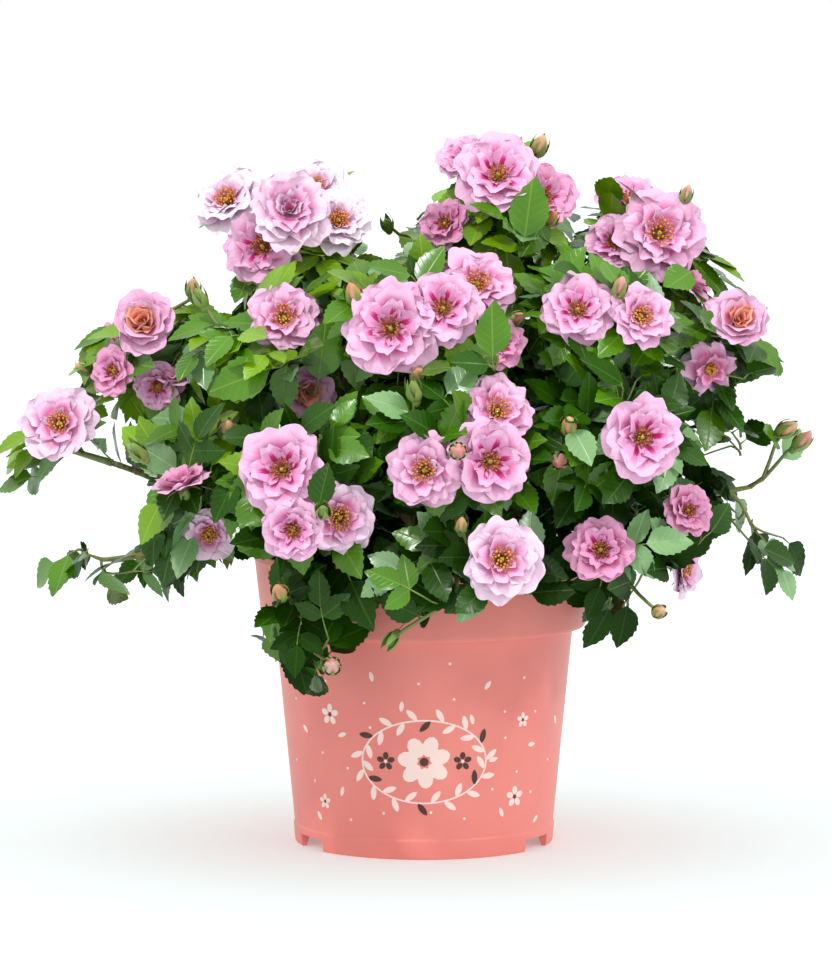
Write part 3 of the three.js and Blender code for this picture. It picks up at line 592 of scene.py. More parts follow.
def pushed_inside(space, head):
    for _ in range(PUSHES):
        for wall, reach in zip(space["walls"], space["reach"]):
            lean = head["facing"] @ wall
            radius = head["width"] / 2 * math.sqrt(1 - min(1, lean * lean)) + HEAD_MARGIN
            over = (head["at"] - space["middle"]) @ wall + radius - reach
            if over > 0:
                head["at"] = head["at"] - wall * over
    return head


def heads_of(name, space, draw):
    data = SPRAYS[name]
    heads = []
    for across, up, width, stand_out, kind in data["blooms"]:
        head = pushed_inside(space, on_front(space, across, up, width, stand_out))
        heads.append(head | {"kind": kind})
    for across, up in data["buds"]:
        head = pushed_inside(space, on_front(space, across, up, BUD_WIDTH, BUD_STAND_OUT))
        heads.append(head | {"kind": "bud"})
    out = unit(space["middle"] - HEART)
    wanted = data["more"]
    for i in range(1, 40):
        if wanted == 0:
            break
        way = scattered(i)
        width = SMALLEST_NEW + NEW_SPREAD * draw()
        if way @ out < 0.1 or (data["at"][1] < 60 and way[1] < 0.1):
            continue
        at = space["middle"] + way * space["half"]
        head = pushed_inside(space, {"at": at, "facing": facing_of(space, at), "width": width})
        crowded = any(
            norm(h["at"] - head["at"]) < CROWDING * (h["width"] + width) for h in heads
        )
        here, core = head["at"][None], width * HEART_OF_BLOOM
        if crowded or closes_sky(here, core) or not clear_of_limbs(here, core):
            continue
        heads.append(head | {"kind": ("pink", "pale", "deep")[i % 3]})
        wanted -= 1
    return heads


# %% [markdown]
# ## Twigs
# Each head has a twig that leaves the spray's stem at the free joint that needs the least
# length and turn, as a real shoot grows to the light by the shortest way. A few leafy tips
# without a head fill the spray.

# %% Grow the coarse twigs
FIRST_JOINT, JOINT_SPAN = 0.15, 0.82  # shares of a spray's stem
TWIG_HANDLES = (0.3, 0.35)  # how far a twig runs straight at both ends, as shares of its span
TURN_COST = 0.8  # of a turn by a right angle, as a share of the twig's length


def twig_curve(root, lead, end, arrive):
    span = norm(end - root)
    leaving, arriving = TWIG_HANDLES
    return np.array((root, root + lead * span * leaving, end - arrive * span * arriving, end))


def twig_to(stem, taken, end, arrive):
    """The free joint of the stem that needs the least turn, and the twig from there."""
    best = None
    for joint in range(JOINTS):
        if joint in taken:
            continue
        t = FIRST_JOINT + JOINT_SPAN * joint / (JOINTS - 1)
        root, lead = along(stem, t)[0], way_at(stem, t)[0]
        span = norm(end - root)
        cost = span * (1 + TURN_COST * (1 - lead @ unit(end - root)))
        if best is None or cost < best[0]:
            best = (cost, joint, root, lead)
    return best[1], twig_curve(best[2], best[3], end, arrive)


def twig_fits(space, curve):
    points = along(curve, (0.35, 0.6, 0.8, 1))
    return inside(space, points, TWIG[0]) and clear_of_limbs(points, TWIG[0])


def stem_of_spray(name, space):
    """It carries on from the limb's tip, and ends a little past the middle of the spray."""
    curve = limbs[name]
    lead = way_at(curve, 1)[0]
    root = curve[-1] + lead * GAP
    end = space["middle"] + lead * norm(space["half"]) * 0.12
    return np.array((root, root + lead * norm(end - root) * 0.6, end))


def coarse_twigs(name, space, stem, draw):
    """The twigs that the plain model has too: one for each head, and a few leafy tips."""
    taken, twigs = set(), []
    heads = heads_of(name, space, draw)
    for head in heads:
        seat = head["width"] * BLOOM_SEAT if head["kind"] != "bud" else 0
        joint, curve = twig_to(stem, taken, head["at"] - head["facing"] * seat, head["facing"])
        taken.add(joint)
        twigs.append(head | {"curve": curve})
    for tip in SPRAYS[name]["tips"]:
        way = unit(np.array(tip[3:], float))
        at = space["middle"] + tip[:3]
        joint, curve = twig_to(stem, taken, at, way)
        taken.add(joint)
        twigs.append({"kind": "tip", "at": at, "facing": way, "width": 0, "curve": curve})
    out = unit(space["middle"] - HEART)
    tips = 0
    for i in range(60):
        way = scattered(i)
        if tips == TIPS_PER_SPRAY or way @ out < -0.3:
            continue
        for share in TIP_DEPTHS:
            at = space["middle"] + way * space["half"] * share
            joint, curve = twig_to(stem, taken, at, way)
            crowded = any(norm(h["at"] - at) < h["width"] * BLOOM_ROOM for h in heads)
            if crowded or closes_sky(at[None]) or not twig_fits(space, curve):
                continue
            taken.add(joint)
            twigs.append({"kind": "tip", "at": at, "facing": way, "width": 0, "curve": curve})
            tips += 1
            break
    return twigs


sprays = {}
for number, name in enumerate(SPRAYS, start=1):
    space = space_of(name)
    stem = stem_of_spray(name, space)
    draw = seeded(number)
    sprays[name] = {"space": space, "stem": stem, "draw": draw}
    sprays[name]["twigs"] = coarse_twigs(name, space, stem, draw)
print("coarse twigs:", sum(len(s["twigs"]) for s in sprays.values()))

# %% [markdown]
# ## Where the blooms look
# A bloom turns its face to the light, which is brightest in front of the plant. So do all in
# the front and the middle, but one kind is seen from beside, and a faded one hangs. Leaves
# keep out of the view of every open bloom.

# %% Turn the blooms
TURNING_DEPTH = 40  # blooms further back than this, in mm, keep their facing
VIEW_ROOM = 42  # leaves stay this far out of the view of a bloom, along its facing
SEEN_RADIUS, SEEN_BEHIND = 0.45, 0.28  # of a bloom's width: what leaves may not hide


def look_of(head):
    """Where a bloom looks in the end: most turn to the front, a few sideways or down."""
    facing = head["facing"]
    if head["kind"] == "side":
        return unit(facing * (0.9, 0.25, 0.2) + (0, 0.05, 0.75))
    if head["kind"] == "faded":
        return unit(facing * (1, 1, 0) + (0.2, 0, -0.35))
    return unit(facing + (0, -0.7, 0)) if head["at"][1] < TURNING_DEPTH else facing


def hides_bloom(points, heads, margin=0):
    """Whether any of the points stands right in front of an open bloom."""
    offset = points[:, None] - heads["at"][None]
    height = (offset * heads["facing"]).sum(axis=2)
    across = norm(offset - height[..., None] * heads["facing"], axis=2)
    before = (height > -SEEN_BEHIND * heads["width"]) & (height < VIEW_ROOM)
    return bool((before & (across < heads["width"] * SEEN_RADIUS + margin)).any())


open_heads = [t for s in sprays.values() for t in s["twigs"] if t["kind"] not in ("tip", "bud")]
for head in open_heads:
    head["facing"] = look_of(head)
blooms = {key: np.array([h[key] for h in open_heads]) for key in ("at", "facing", "width")}
print("open blooms:", len(open_heads))

# %% [markdown]
# ## Finer growth
# The plain model stops at a few twigs for each spray. The real plant goes on: small late buds,
# a few large single leaves that are listed, and leafy shoots that fork from the twigs that are
# there. They leave where the least turn is needed, and keep to the same room.

# %% Grow the finer shoots
FINE_TIPS = 20  # most shoots in a spray
FINE_TRIES, FINE_START = 90, 7  # directions that are tried, and the first of them
FINE_DEPTHS = (0.98, 0.74, 0.5)  # how far out shoots end, as shares of the half width
TIP_SPACING = 15  # mm between the ends of any two
SHOOT_VIEW_MARGIN = 4  # mm that a shoot's tip keeps beside the view of a bloom
FORK_COST = 1.1  # as TURN_COST, for shoots


def fork_to(carriers, end, arrive):
    """The place on all twigs so far that needs the least turn, and the shoot from there."""
    shares = np.linspace(0.25, 0.9, 9)
    roots = np.concatenate([along(c, shares) for c in carriers])
    leads = np.concatenate([way_at(c, shares) for c in carriers])
    apart = end - roots
    span = norm(apart, axis=1)
    turn = 1 - (leads * apart).sum(axis=1) / span
    best = int(np.argmin(span * (1 + FORK_COST * turn)))
    return twig_curve(roots[best], leads[best], end, arrive)


def late_buds(name, space, carriers):
    made = []
    for across, up in SPRAYS[name]["late"]:
        head = pushed_inside(space, on_front(space, across, up, BUD_WIDTH, BUD_STAND_OUT))
        curve = fork_to(carriers, head["at"], head["facing"])
        made.append(head | {"kind": "bud", "curve": curve})
    return made


def leaves_by_hand(name, space, carriers):
    """Single leaves with a twig each. A bearing of 0 points up, of 90 to the right."""
    made = []
    for across, up, stand_out, length, bearing in SPRAYS[name]["leaves"]:
        place = on_front(space, across, up, 0, stand_out)
        angle = math.radians(bearing)
        way = unit(np.array((math.sin(angle), -0.25, math.cos(angle))))
        curve = fork_to(carriers, place["at"], way)
        made.append(place | {"kind": "leaf", "way": way, "length": length, "curve": curve})
    return made


def fine_tips(space, carriers, taken_ends, heads, leafy):
    out = unit(space["middle"] - HEART)
    made = []
    for i in range(FINE_TRIES):
        way = scattered(i + FINE_START)
        if len(made) >= FINE_TIPS * leafy:
            break
        if way @ out < -0.6:
            continue
        for depth in FINE_DEPTHS:
            at = space["middle"] + way * space["half"] * depth
            if min(norm(end - at) for end in taken_ends) < TIP_SPACING:
                continue
            if hides_bloom(at[None], heads, SHOOT_VIEW_MARGIN) or closes_sky(at[None]):
                continue
            curve = fork_to(carriers, at, unit(way + (0, 0, 0.15)))
            if twig_fits(space, curve):
                made.append({"kind": "shoot", "at": at, "facing": way, "width": 0, "curve": curve})
                taken_ends.append(at)
                break
    return made


for name, s in sprays.items():
    carriers = [s["stem"]] + [t["curve"] for t in s["twigs"]]
    s["twigs"] += late_buds(name, s["space"], carriers) + leaves_by_hand(name, s["space"], carriers)
    ends = [t["at"] for t in s["twigs"]]
    s["twigs"] += fine_tips(s["space"], carriers, ends, blooms, SPRAYS[name]["leafy"])
print("twigs and shoots:", sum(len(s["twigs"]) for s in sprays.values()))

# %% [markdown]
# ## Pieces from many small patches
# A leaf, a petal or a length of twig is a patch: its points, its faces and its own UV map.
# Thousands of patches of one finish are joined to one mesh, which Blender handles far better
# than thousands of objects.

# %% Join patches to a mesh
def new_piece(name, patches, finish):
    """One smooth mesh from patches of (points in mm, list of face arrays, uv)."""
    points, corners, sizes, uvs, first = [], [], [], [], 0
    for at, face_sets, uv in patches:
        for faces in face_sets:
            corners.append((faces + first).ravel())
            sizes.append(np.full(len(faces), faces.shape[1]))
            uvs.append(uv[faces.ravel()])
        points.append(at)
        first += len(at)
    points, corners = np.concatenate(points) * MM, np.concatenate(corners)
    sizes, uvs = np.concatenate(sizes), np.concatenate(uvs)
    mesh = bpy.data.meshes.new(name)
    mesh.vertices.add(len(points))
    mesh.vertices.foreach_set("co", points.ravel())
    mesh.loops.add(len(corners))
    mesh.loops.foreach_set("vertex_index", corners.astype(np.int32))
    mesh.polygons.add(len(sizes))
    starts = np.concatenate(([0], np.cumsum(sizes)[:-1])).astype(np.int32)
    mesh.polygons.foreach_set("loop_start", starts)
    mesh.uv_layers.new(name="own").data.foreach_set("uv", uvs.ravel())
    mesh.polygons.foreach_set("use_smooth", np.ones(len(sizes), bool))
    mesh.update(calc_edges=True)
    mesh.validate()
    mesh.materials.append(finish)
    print(f"{name}: {len(patches)} patches, {int((sizes - 2).sum())} triangles")
    return in_scene(name, mesh)


def plain_mesh(name, dressed):
    """What an object's modifiers make of it, as a mesh of its own."""
    bpy.context.view_layer.update()
    graph = bpy.context.evaluated_depsgraph_get()
    mesh = bpy.data.meshes.new_from_object(dressed.evaluated_get(graph))
    mesh.name = name
    return mesh


# %% [markdown]
# ## Grids, tubes and turned forms
# Petals and sepals are grids of points, twigs and canes are tubes, and the pot, the compost,
# hips and buds are turned from a profile. All are rows of points with quads between them.

# %% Helpers for shapes
def grid_faces(rows, columns, closed=False):
    """Quads over a grid of points, row by row. A closed grid joins its last column to its first."""
    wide = columns if closed else columns - 1
    r, c = np.meshgrid(np.arange(rows - 1), np.arange(wide), indexing="ij")
    a, b = r * columns + c, r * columns + (c + 1) % columns
    return np.stack((a, b, b + columns, a + columns), axis=-1).reshape(-1, 4)


def closed_faces(rows, sides):
    """Faces over a stack of rings, with a flat one at each end."""
    ends = np.array((np.arange(sides)[::-1], np.arange(sides) + sides * (rows - 1)))
    return [grid_faces(rows, sides, closed=True), ends]


def ring_of(radius, bearings, z):
    """Points on a level circle, at bearings in radians."""
    flat = (radius * np.cos(bearings), radius * np.sin(bearings), np.full(len(bearings), z))
    return np.stack(flat, axis=1)


def axes_of(way, face):
    """Three rows: along, sideways and up, square to each other."""
    way = unit(np.asarray(way, float))
    side = unit(np.cross(face, way))
    return np.array((way, side, np.cross(way, side)))


def turned_about(axis, angle, v):
    """v turned round an axis, by the rule of Rodrigues."""
    c, s = math.cos(angle), math.sin(angle)
    return v * c + np.cross(axis, v) * s + axis * (v @ axis) * (1 - c)


def tube(points, radii, sides, bumps=None):
    """A closed round tube along points. Bumps are shares that are added to its radius."""
    ways = unit(np.gradient(points, axis=0))
    side = np.cross(ways[0], (0.31, 0.17, 0.93))
    turn = 2 * np.pi * np.arange(sides) / sides
    rings = []
    for i, way in enumerate(ways):
        side = unit(side - way * (side @ way))
        up = np.cross(way, side)
        ring = np.cos(turn)[:, None] * side + np.sin(turn)[:, None] * up
        radius = radii[i] if bumps is None else radii[i] * (1 + bumps[i])[:, None]
        rings.append(points[i] + ring * radius)
    round_it, along_it = turn / (2 * np.pi), np.linspace(0, 1, len(points))
    uv = np.stack((np.tile(round_it, len(points)), np.repeat(along_it, sides)), axis=1)
    return np.concatenate(rings), closed_faces(len(points), sides), uv


def lathe(profile, sides):
    """A closed turned form from (radius, height) pairs. A small disc closes each end."""
    turn = 2 * np.pi * np.arange(sides) / sides
    at = np.concatenate([ring_of(r, turn, z) for r, z in profile])
    return at, closed_faces(len(profile), sides), np.zeros((len(at), 2))


def bent_line(slopes):
    """How far (out, up) a line of unit length is at even steps of it, from its slopes there."""
    steps = np.stack((np.cos(slopes[:-1]), np.sin(slopes[:-1])))
    return np.concatenate((np.zeros((2, 1)), np.cumsum(steps, axis=1)), axis=1) / (len(slopes) - 1)


def spun(turn):
    """Rows of a frame that is turned about its third axis."""
    c, s = math.cos(turn), math.sin(turn)
    return np.array(((c, s, 0), (-s, c, 0), (0, 0, 1)))


def placed(patch, base, axes, turn=0.0, shift=0.0):
    """A patch moved outwards, spun about its axis and set on a base."""
    points, faces, uv = patch
    return base + (points + (shift, 0, 0)) @ spun(turn) @ axes, faces, uv


# %% [markdown]
# ## Leaves: the leaflet
# A rose leaf is compound: five or seven leaflets on one stalk. A leaflet is egg-shaped with a
# saw-toothed edge, folded a little along its midrib, and its tip hangs. It is repeated some
# thousand times, so it has only 38 faces, all spent on the outline.

# %% Shape the leaflet
TEETH = 7  # on each side
TOOTH_OUT, NOTCH_IN, TOOTH_LEAN = 1.05, 0.955, 0.038  # widths at a tooth and a notch, and its lean


def edge_point(i, first):
    """Number of point i of one edge. Both edges share the first and last point of the midrib."""
    if i == 0:
        return 0
    return TEETH if i == 2 * TEETH else first + i - 1


def leaflet(rng):
    """Points, faces and uv of a leaflet of unit length along +X, its face towards +Z."""
    s = np.linspace(0, 1, 2 * TEETH + 1)
    width = (0.98 + 0.14 * rng.random()) * s**0.7 * (1 - s) ** 1.08
    at_tooth = np.arange(len(s)) % 2 == 1
    width = width * np.where(at_tooth, TOOTH_OUT, NOTCH_IN)
    reach = s + np.where(at_tooth, TOOTH_LEAN, 0) * (1 - s**4)
    width[0] = width[-1] = 0
    fold, hang = 0.08 + 0.26 * rng.random(), 0.04 + 0.2 * rng.random()
    wave, swing = 0.03 * rng.random(), rng.uniform(-0.07, 0.07)
    rib = s[::2]
    rib_points = np.stack((rib, 0 * rib, 0 * rib), axis=1)
    edges = []
    for hand in (1, -1):
        lift = fold * width + wave * np.sin(9 * s + hand) * width / 0.3
        edges.append(np.stack((reach, hand * width, lift), axis=1)[1:-1])
    points = np.concatenate((rib_points, *edges))
    points[:, 2] -= hang * points[:, 0] ** 2
    points[:, 1] += swing * points[:, 0] ** 2
    faces = []
    for hand, first in ((1, len(rib)), (-1, len(rib) + 2 * TEETH - 1)):
        for k in range(TEETH):
            low, tooth, high = (edge_point(2 * k + step, first) for step in range(3))
            for a, b, c in ((k, low, tooth), (k, tooth, k + 1), (k + 1, tooth, high)):
                if len({a, b, c}) == 3:
                    faces.append((a, c, b) if hand == 1 else (a, b, c))
    uv = np.stack((points[:, 0], 0.5 + points[:, 1]), axis=1)
    return points, np.array(faces), uv


print("faces in a leaflet:", len(leaflet(np.random.default_rng(1))[1]))

# %% [markdown]
# ## Leaves: the compound leaf
# Leaflets stand in pairs on a thin arching stalk, with one at the end. A dozen such leaves
# are made once, with different folds and bends, and used over and over. A short leaf has fewer
# leaflets, not much smaller ones, so that most leaflets are 20 to 35 mm long.

# %% Put leaflets on a stalk
PAIRS = {  # (place on the stalk, length of the leaflets), as shares of the leaf
    1: (), 3: ((0.36, 0.47),), 5: ((0.26, 0.33), (0.49, 0.38)),
    7: ((0.22, 0.26), (0.4, 0.31), (0.58, 0.33)),
}
STALK_END = {1: 0.14, 3: 0.5, 5: 0.62, 7: 0.69}
FORMS = 3  # leaves that are made for each number of leaflets


def rise(s):
    """How high the stalk arches at a share of the leaf."""
    return 0.42 * s * (1 - s)


def compound_leaf(count, rng):
    """A leaf of unit length along +X. Its stalk is a piece apart."""
    blades, stalk_end = [], STALK_END[count]
    stalk = np.array([(s, 0, rise(s)) for s in np.linspace(0, stalk_end, 5)])
    for share, size in PAIRS[count]:
        for hand in (1, -1):
            spread = math.radians(rng.uniform(56, 72)) * hand
            way = (math.cos(spread), math.sin(spread), rng.uniform(-0.25, 0.2))
            place = np.array((share, 0, rise(share)))
            blades.append((place, way, size * rng.uniform(0.9, 1.08)))
    way = (1, rng.uniform(-0.2, 0.2), rng.uniform(-0.4, -0.05))
    blades.append((stalk[-1], way, 1 - stalk_end + 0.02))
    points, faces, uvs, first = [], [], [], 0
    for place, way, size in blades:
        blade, blade_faces, uv = leaflet(rng)
        tilt = np.array((rng.uniform(-0.15, 0.15), rng.uniform(-0.25, 0.25), 1))
        points.append(place + size * blade @ axes_of(way, tilt))
        faces.append(blade_faces + first)
        uvs.append(uv)
        first += len(blade)
    tips = np.array([place + size * unit(np.array(way)) for place, way, size in blades])
    middles = np.array([place + 0.5 * size * unit(np.array(way)) for place, way, size in blades])
    return {
        "blades": (np.concatenate(points), np.concatenate(faces), np.concatenate(uvs)),
        "stalk": stalk, "tips": tips, "middles": middles,
    }


leaf_rng = np.random.default_rng(11)
LEAVES = {count: [compound_leaf(count, leaf_rng) for _ in range(FORMS)] for count in PAIRS}
print("faces in a leaf of five:", len(LEAVES[5][0]["blades"][1]))

# %% [markdown]
# ## Leaves: where they stand
# Leaves follow each other round a twig by the golden angle. Each takes the greatest length
# that keeps to the room of its spray, clear of canes and pot, and out of the view of a bloom.

# %% Set the leaves on the twigs
# length of a leaf in mm: how many leaflets it may have
LEAF_SIZES = {90: (5, 7, 7), 78: (5, 5, 5), 66: (5, 3, 5), 56: (3, 5, 3), 46: (3, 3, 3), 34: (1, 1, 1)}
LEAF_SHARES = {  # where leaves stand along each kind of twig
    "bloom": (0.92, 0.74, 0.56, 0.38, 0.2), "tip": (1, 0.84, 0.68, 0.52, 0.36, 0.2),
    "shoot": (1, 0.8, 0.6, 0.4, 0.2), "stem": (0.98, 0.84, 0.7, 0.55, 0.4, 0.25, 0.1),
    "cane": (0.97, 0.91, 0.84, 0.77, 0.7, 0.62, 0.54, 0.46),
}
LEAF_ROOM = 10.5  # between the middles of leaflets of two leaves
SOFT_WALL = 6  # leaves mix by this much with those of the next spray
SKY_MARGIN, VIEW_MARGIN = 5, 2  # mm round an open place and round the view of a bloom
AT_TIP = 0.97  # leaves further along a twig than this point on the way that it goes
TURNS = 8  # steps of the golden angle that a leaf tries


def leaf_fits(space, points, middles, others):
    if space and not (inside(space, points, -SOFT_WALL) and within_reach(space, points[-1])):
        return False
    if closes_sky(points, SKY_MARGIN) or below_hem(points):
        return False
    if len(others) and (norm(others[:, None] - middles, axis=2) < LEAF_ROOM).any():
        return False
    return not hides_bloom(points, blooms, VIEW_MARGIN) and clear_of_limbs(points, 1)


def set_leaves(s, curve, shares, leafy, free=False):
    """Sets leaves on one twig. Gives the share of the twig up to which it has leaves."""
    grown, draw = 0.0, s["draw"]
    space, turn_from = None if free else s["space"], 2 * math.pi * draw()
    for i, share in enumerate(shares):
        if draw() > leafy:
            continue
        root, lead = along(curve, share)[0], way_at(curve, share)[0]
        out = unit(root - HEART)
        flat = unit(np.cross(lead, out))
        pick = int(3 * FORMS * draw())
        forms = {n: LEAVES[counts[pick // 3]][pick % 3] for n, counts in LEAF_SIZES.items()}
        room = s["leaf_points"]
        others = np.array(room) if room else np.empty((0, 3))
        turns = [turn_from + LEAF_TURN * (i + attempt) for attempt in range(TURNS)]
        for length, turn in ((n, a) for n in LEAF_SIZES for a in turns):
            form = forms[length]
            way = turned_about(lead, turn, flat)
            way = unit(way + lead * (3 if share > AT_TIP else 0.8) + out * 0.2)
            axes = axes_of(way, out + (0, -0.25 + 0.9 * min(0, way[2]), 0.5))
            middles = root + length * form["middles"] @ axes
            points = np.concatenate((middles, root + length * form["tips"] @ axes))
            if leaf_fits(space, points, middles, others):
                length *= 0.92 + 0.12 * draw()
                s["leaves"].append({"root": root, "axes": axes, "length": length, "form": form})
                room += list(middles)
                grown = max(grown, share)
                break
    return grown


for name, s in sprays.items():
    s["leaves"], s["leaf_points"] = [], []
    for twig in (t for t in s["twigs"] if t["kind"] == "leaf"):
        form = LEAVES[1][len(s["leaves"]) % FORMS]
        leaf = {"root": twig["at"], "axes": axes_of(twig["way"], twig["facing"]), "form": form}
        s["leaves"].append(leaf | {"length": twig["length"], "tone": "leaves_mid"})
        s["leaf_points"] += list(leaf["root"] + twig["length"] * form["middles"] @ leaf["axes"])
    leafy = SPRAYS[name]["leafy"]
    for twig in reversed(s["twigs"]):
        kind = twig["kind"] if twig["kind"] in LEAF_SHARES else "bloom"
        grown = set_leaves(s, twig["curve"], LEAF_SHARES[kind], leafy)
        twig["grown"] = 1.0 if kind == "bloom" else grown
    set_leaves(s, s["stem"], LEAF_SHARES["stem"], leafy)
    set_leaves(s, limbs[name], LEAF_SHARES["cane"], 1.0, free=True)
print("leaves:", {name: len(s["leaves"]) for name, s in sprays.items()})
lengths = [leaf["length"] for s in sprays.values() for leaf in s["leaves"]]
print("leaves in all:", len(lengths), "middle length in mm:", round(float(np.median(lengths)), 1))

# %% [markdown]
# ## Leaves: finish
# A rose leaf is glossy and waxy on top. Its midrib and side veins are paler lines, pressed a
# little into the blade, which a bump from the leaflet's own UV map gives. Five tones are dealt
# out, and their base colours paint light and shade onto the leaves: leaves deep inside get
# painted shade, those on the lit side get painted light, the youngest are yellow-green, and a
# few get a painted grey-green sheen, a painted reflection of the bright surroundings.

# %% Leaf finishes
VEINS = 46.0  # of a sine along the leaflet: a side vein every 4 mm on a leaflet of 30 mm
VEIN_SLANT = -0.75


def waxy_leaf(name, blade, vein, roughness, gloss):
    """Waxy leaf: soft gloss, pale veins, and slightly uneven green."""
    material, tree, shader = new_finish(name, blade, roughness, {"Specular IOR Level": gloss})
    place = add_node(tree, "ShaderNodeUVMap", uv_map="own")
    parts = add_node(tree, "ShaderNodeSeparateXYZ", {0: place.outputs["UV"]})
    off_rib = add_node(tree, "ShaderNodeMath", {0: parts.outputs["Y"], 1: 0.5}, operation="SUBTRACT")
    off_rib = add_node(tree, "ShaderNodeMath", {0: off_rib.outputs[0]}, operation="ABSOLUTE")
    rib = add_node(
        tree, "ShaderNodeMapRange",
        {"Value": off_rib.outputs[0], "From Min": 0.0, "From Max": 0.022, "To Min": 1.0, "To Max": 0.0},
    )
    slant = add_node(
        tree, "ShaderNodeMath", {0: off_rib.outputs[0], 1: VEIN_SLANT, 2: parts.outputs["X"]},
        operation="MULTIPLY_ADD",
    )
    wave = add_node(tree, "ShaderNodeMath", {0: slant.outputs[0], 1: VEINS}, operation="MULTIPLY")
    wave = add_node(tree, "ShaderNodeMath", {0: wave.outputs[0]}, operation="SINE")
    side = add_node(
        tree, "ShaderNodeMapRange",
        {"Value": wave.outputs[0], "From Min": 0.8, "From Max": 1.0, "To Min": 0.0, "To Max": 0.24},
    )
    lines = add_node(tree, "ShaderNodeMath", {0: rib.outputs[0], 1: side.outputs[0]}, operation="MAXIMUM")
    here = add_node(tree, "ShaderNodeTexCoord").outputs["Object"]
    blotch = add_node(tree, "ShaderNodeTexNoise", {"Vector": here, "Scale": 22.0, "Detail": 1.0})
    light = add_node(
        tree, "ShaderNodeMapRange",
        {"Value": blotch.outputs["Fac"], "From Min": 0.3, "From Max": 0.7, "To Min": 0.72, "To Max": 1.3},
    )
    uneven = add_node(tree, "ShaderNodeHueSaturation", {"Color": linear(blade), "Value": light.outputs[0]})
    amount = add_node(tree, "ShaderNodeMath", {0: lines.outputs[0], 1: 0.55}, operation="MULTIPLY")
    mix = add_node(
        tree, "ShaderNodeMix",
        {"Factor": amount.outputs[0], 6: uneven.outputs["Color"], 7: linear(vein)}, data_type="RGBA",
    )
    tree.links.new(mix.outputs[2], shader.inputs["Base Color"])
    bump = add_node(
        tree, "ShaderNodeBump", {"Height": lines.outputs[0], "Strength": 0.35, "Distance": 0.0006},
        invert=True,
    )
    tree.links.new(bump.outputs["Normal"], shader.inputs["Normal"])
    return material


# One leaf green in five tones: the deep and dark ones are painted shade, the young one is young growth and
# painted light, and the sheen one is a painted reflection on a glossier leaf.
LEAF_TONES = {
    "leaves_painted_deep_shade": waxy_leaf("waxy_leaf_green_painted_deep_shade", "#183602", "#3c5e20", 0.38, 0.1),
    "leaves_painted_shade": waxy_leaf("waxy_leaf_green_painted_shade", "#234b04", "#58802a", 0.28, 0.22),
    "leaves_mid": waxy_leaf("waxy_leaf_mid_green", "#457408", "#80a036", 0.26, 0.44),
    "leaves_young_and_painted_lit": waxy_leaf("waxy_leaf_young_green_painted_lit", "#6a9404", "#a0be42", 0.3, 0.42),
    "leaves_glossy_painted_sheen": waxy_leaf("waxy_leaf_glossy_painted_sheen", "#709a60", "#a6c492", 0.3, 0.75),
}
print("leaf finishes:", len(LEAF_TONES))

# %% [markdown]
# ## Leaves: one mesh for each tone
# How bright a leaf's tone is follows from where it stands, so the tones are painted light and
# shade: high, outside and on the left, where the key lamp is, it gets a painted lit tone, low and
# inside a painted shaded one, with some chance. A few on the outside get the painted sheen.
# Every piece of foliage stands in for the plain sprays, so one helper attaches it and hides them.

# %% Join the leaves
CROWN_HALF = (250, 200, 270)  # half widths of the crown round its heart, in mm
CROWN_MIDDLE = 285  # height that counts as neither high nor low
# Painted light and shade: these steps split the leaves into shaded, mid and lit tones.
PAINTED_LIGHT_STEPS = (0.36, 0.74, 1.18)  # light at which the next brighter tone begins
# Some outer leaves get a pale grey-green base colour, a painted sheen for the bright sky that they would
# reflect.
PAINTED_SHEEN_SHARE, PAINTED_SHEEN_FROM, PAINTED_SHEEN_ABOVE = 0.09, 0.5, 170  # how many, how far out, and above what height
YOUNG_ABOVE, YOUNG_LIGHT = 370, 0.105  # sprays as high as this have younger, brighter leaves
STALK_RADII = (0.75, 0.4)
spray_nodes = ["spray_" + name for name in SPRAYS]


def stands_for_sprays(pieces):
    for piece in pieces:
        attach(piece, "root")
        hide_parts(*spray_nodes)


tone_rng = np.random.default_rng(5)
patches = {name: [] for name in LEAF_TONES}
stalks = []
for name, s in sprays.items():
    young = YOUNG_LIGHT if SPRAYS[name]["at"][2] > YOUNG_ABOVE else 0.0
    for leaf in s["leaves"]:
        x, _, z = leaf["root"]
        out = norm((leaf["root"] - HEART) / CROWN_HALF)
        # Painted light and shade: the tone is lighter high, outside and towards the key lamp on the left,
        # darker low and inside, with a random spread.
        light = out + 0.95 * (z - CROWN_MIDDLE) / CROWN_HALF[2] - 0.4 * x / CROWN_HALF[0]
        light += tone_rng.uniform(-0.34, 0.34) + young
        tone = list(LEAF_TONES)[int(np.searchsorted(PAINTED_LIGHT_STEPS, light))]
        # Painted sheen: by chance, a pale grey-green base colour stands in for reflected light; the higher
        # gloss of this tone is real.
        if out > PAINTED_SHEEN_FROM and z > PAINTED_SHEEN_ABOVE and tone_rng.random() < PAINTED_SHEEN_SHARE:
            tone = "leaves_glossy_painted_sheen"
        tone = leaf.get("tone", tone)
        points, faces, uv = leaf["form"]["blades"]
        size = leaf["length"]
        patches[tone].append((leaf["root"] + size * points @ leaf["axes"], [faces], uv))
        stalk = leaf["root"] + size * leaf["form"]["stalk"] @ leaf["axes"]
        stalks.append(tube(stalk, np.linspace(*STALK_RADII, len(stalk)), 3))
stands_for_sprays([new_piece(name, patches[name], LEAF_TONES[name]) for name in LEAF_TONES])

# %% [markdown]
# ## Blooms: one petal
# The rose is half double: three to five rings of wide, thin petals, most round an open eye. A
# petal is narrow at its claw, broad and notched at its end, and its end ripples. It rises from
# the claw and bends outwards, so it follows an arc whose slope is given at both ends.

# %% Shape a petal
ROWS, COLUMNS = 10, 13  # points along a petal and across it
ARC_POINTS = 25
WIDEST = 0.78  # share of a petal's length at which it is widest
ANY_PHASE = 6.28


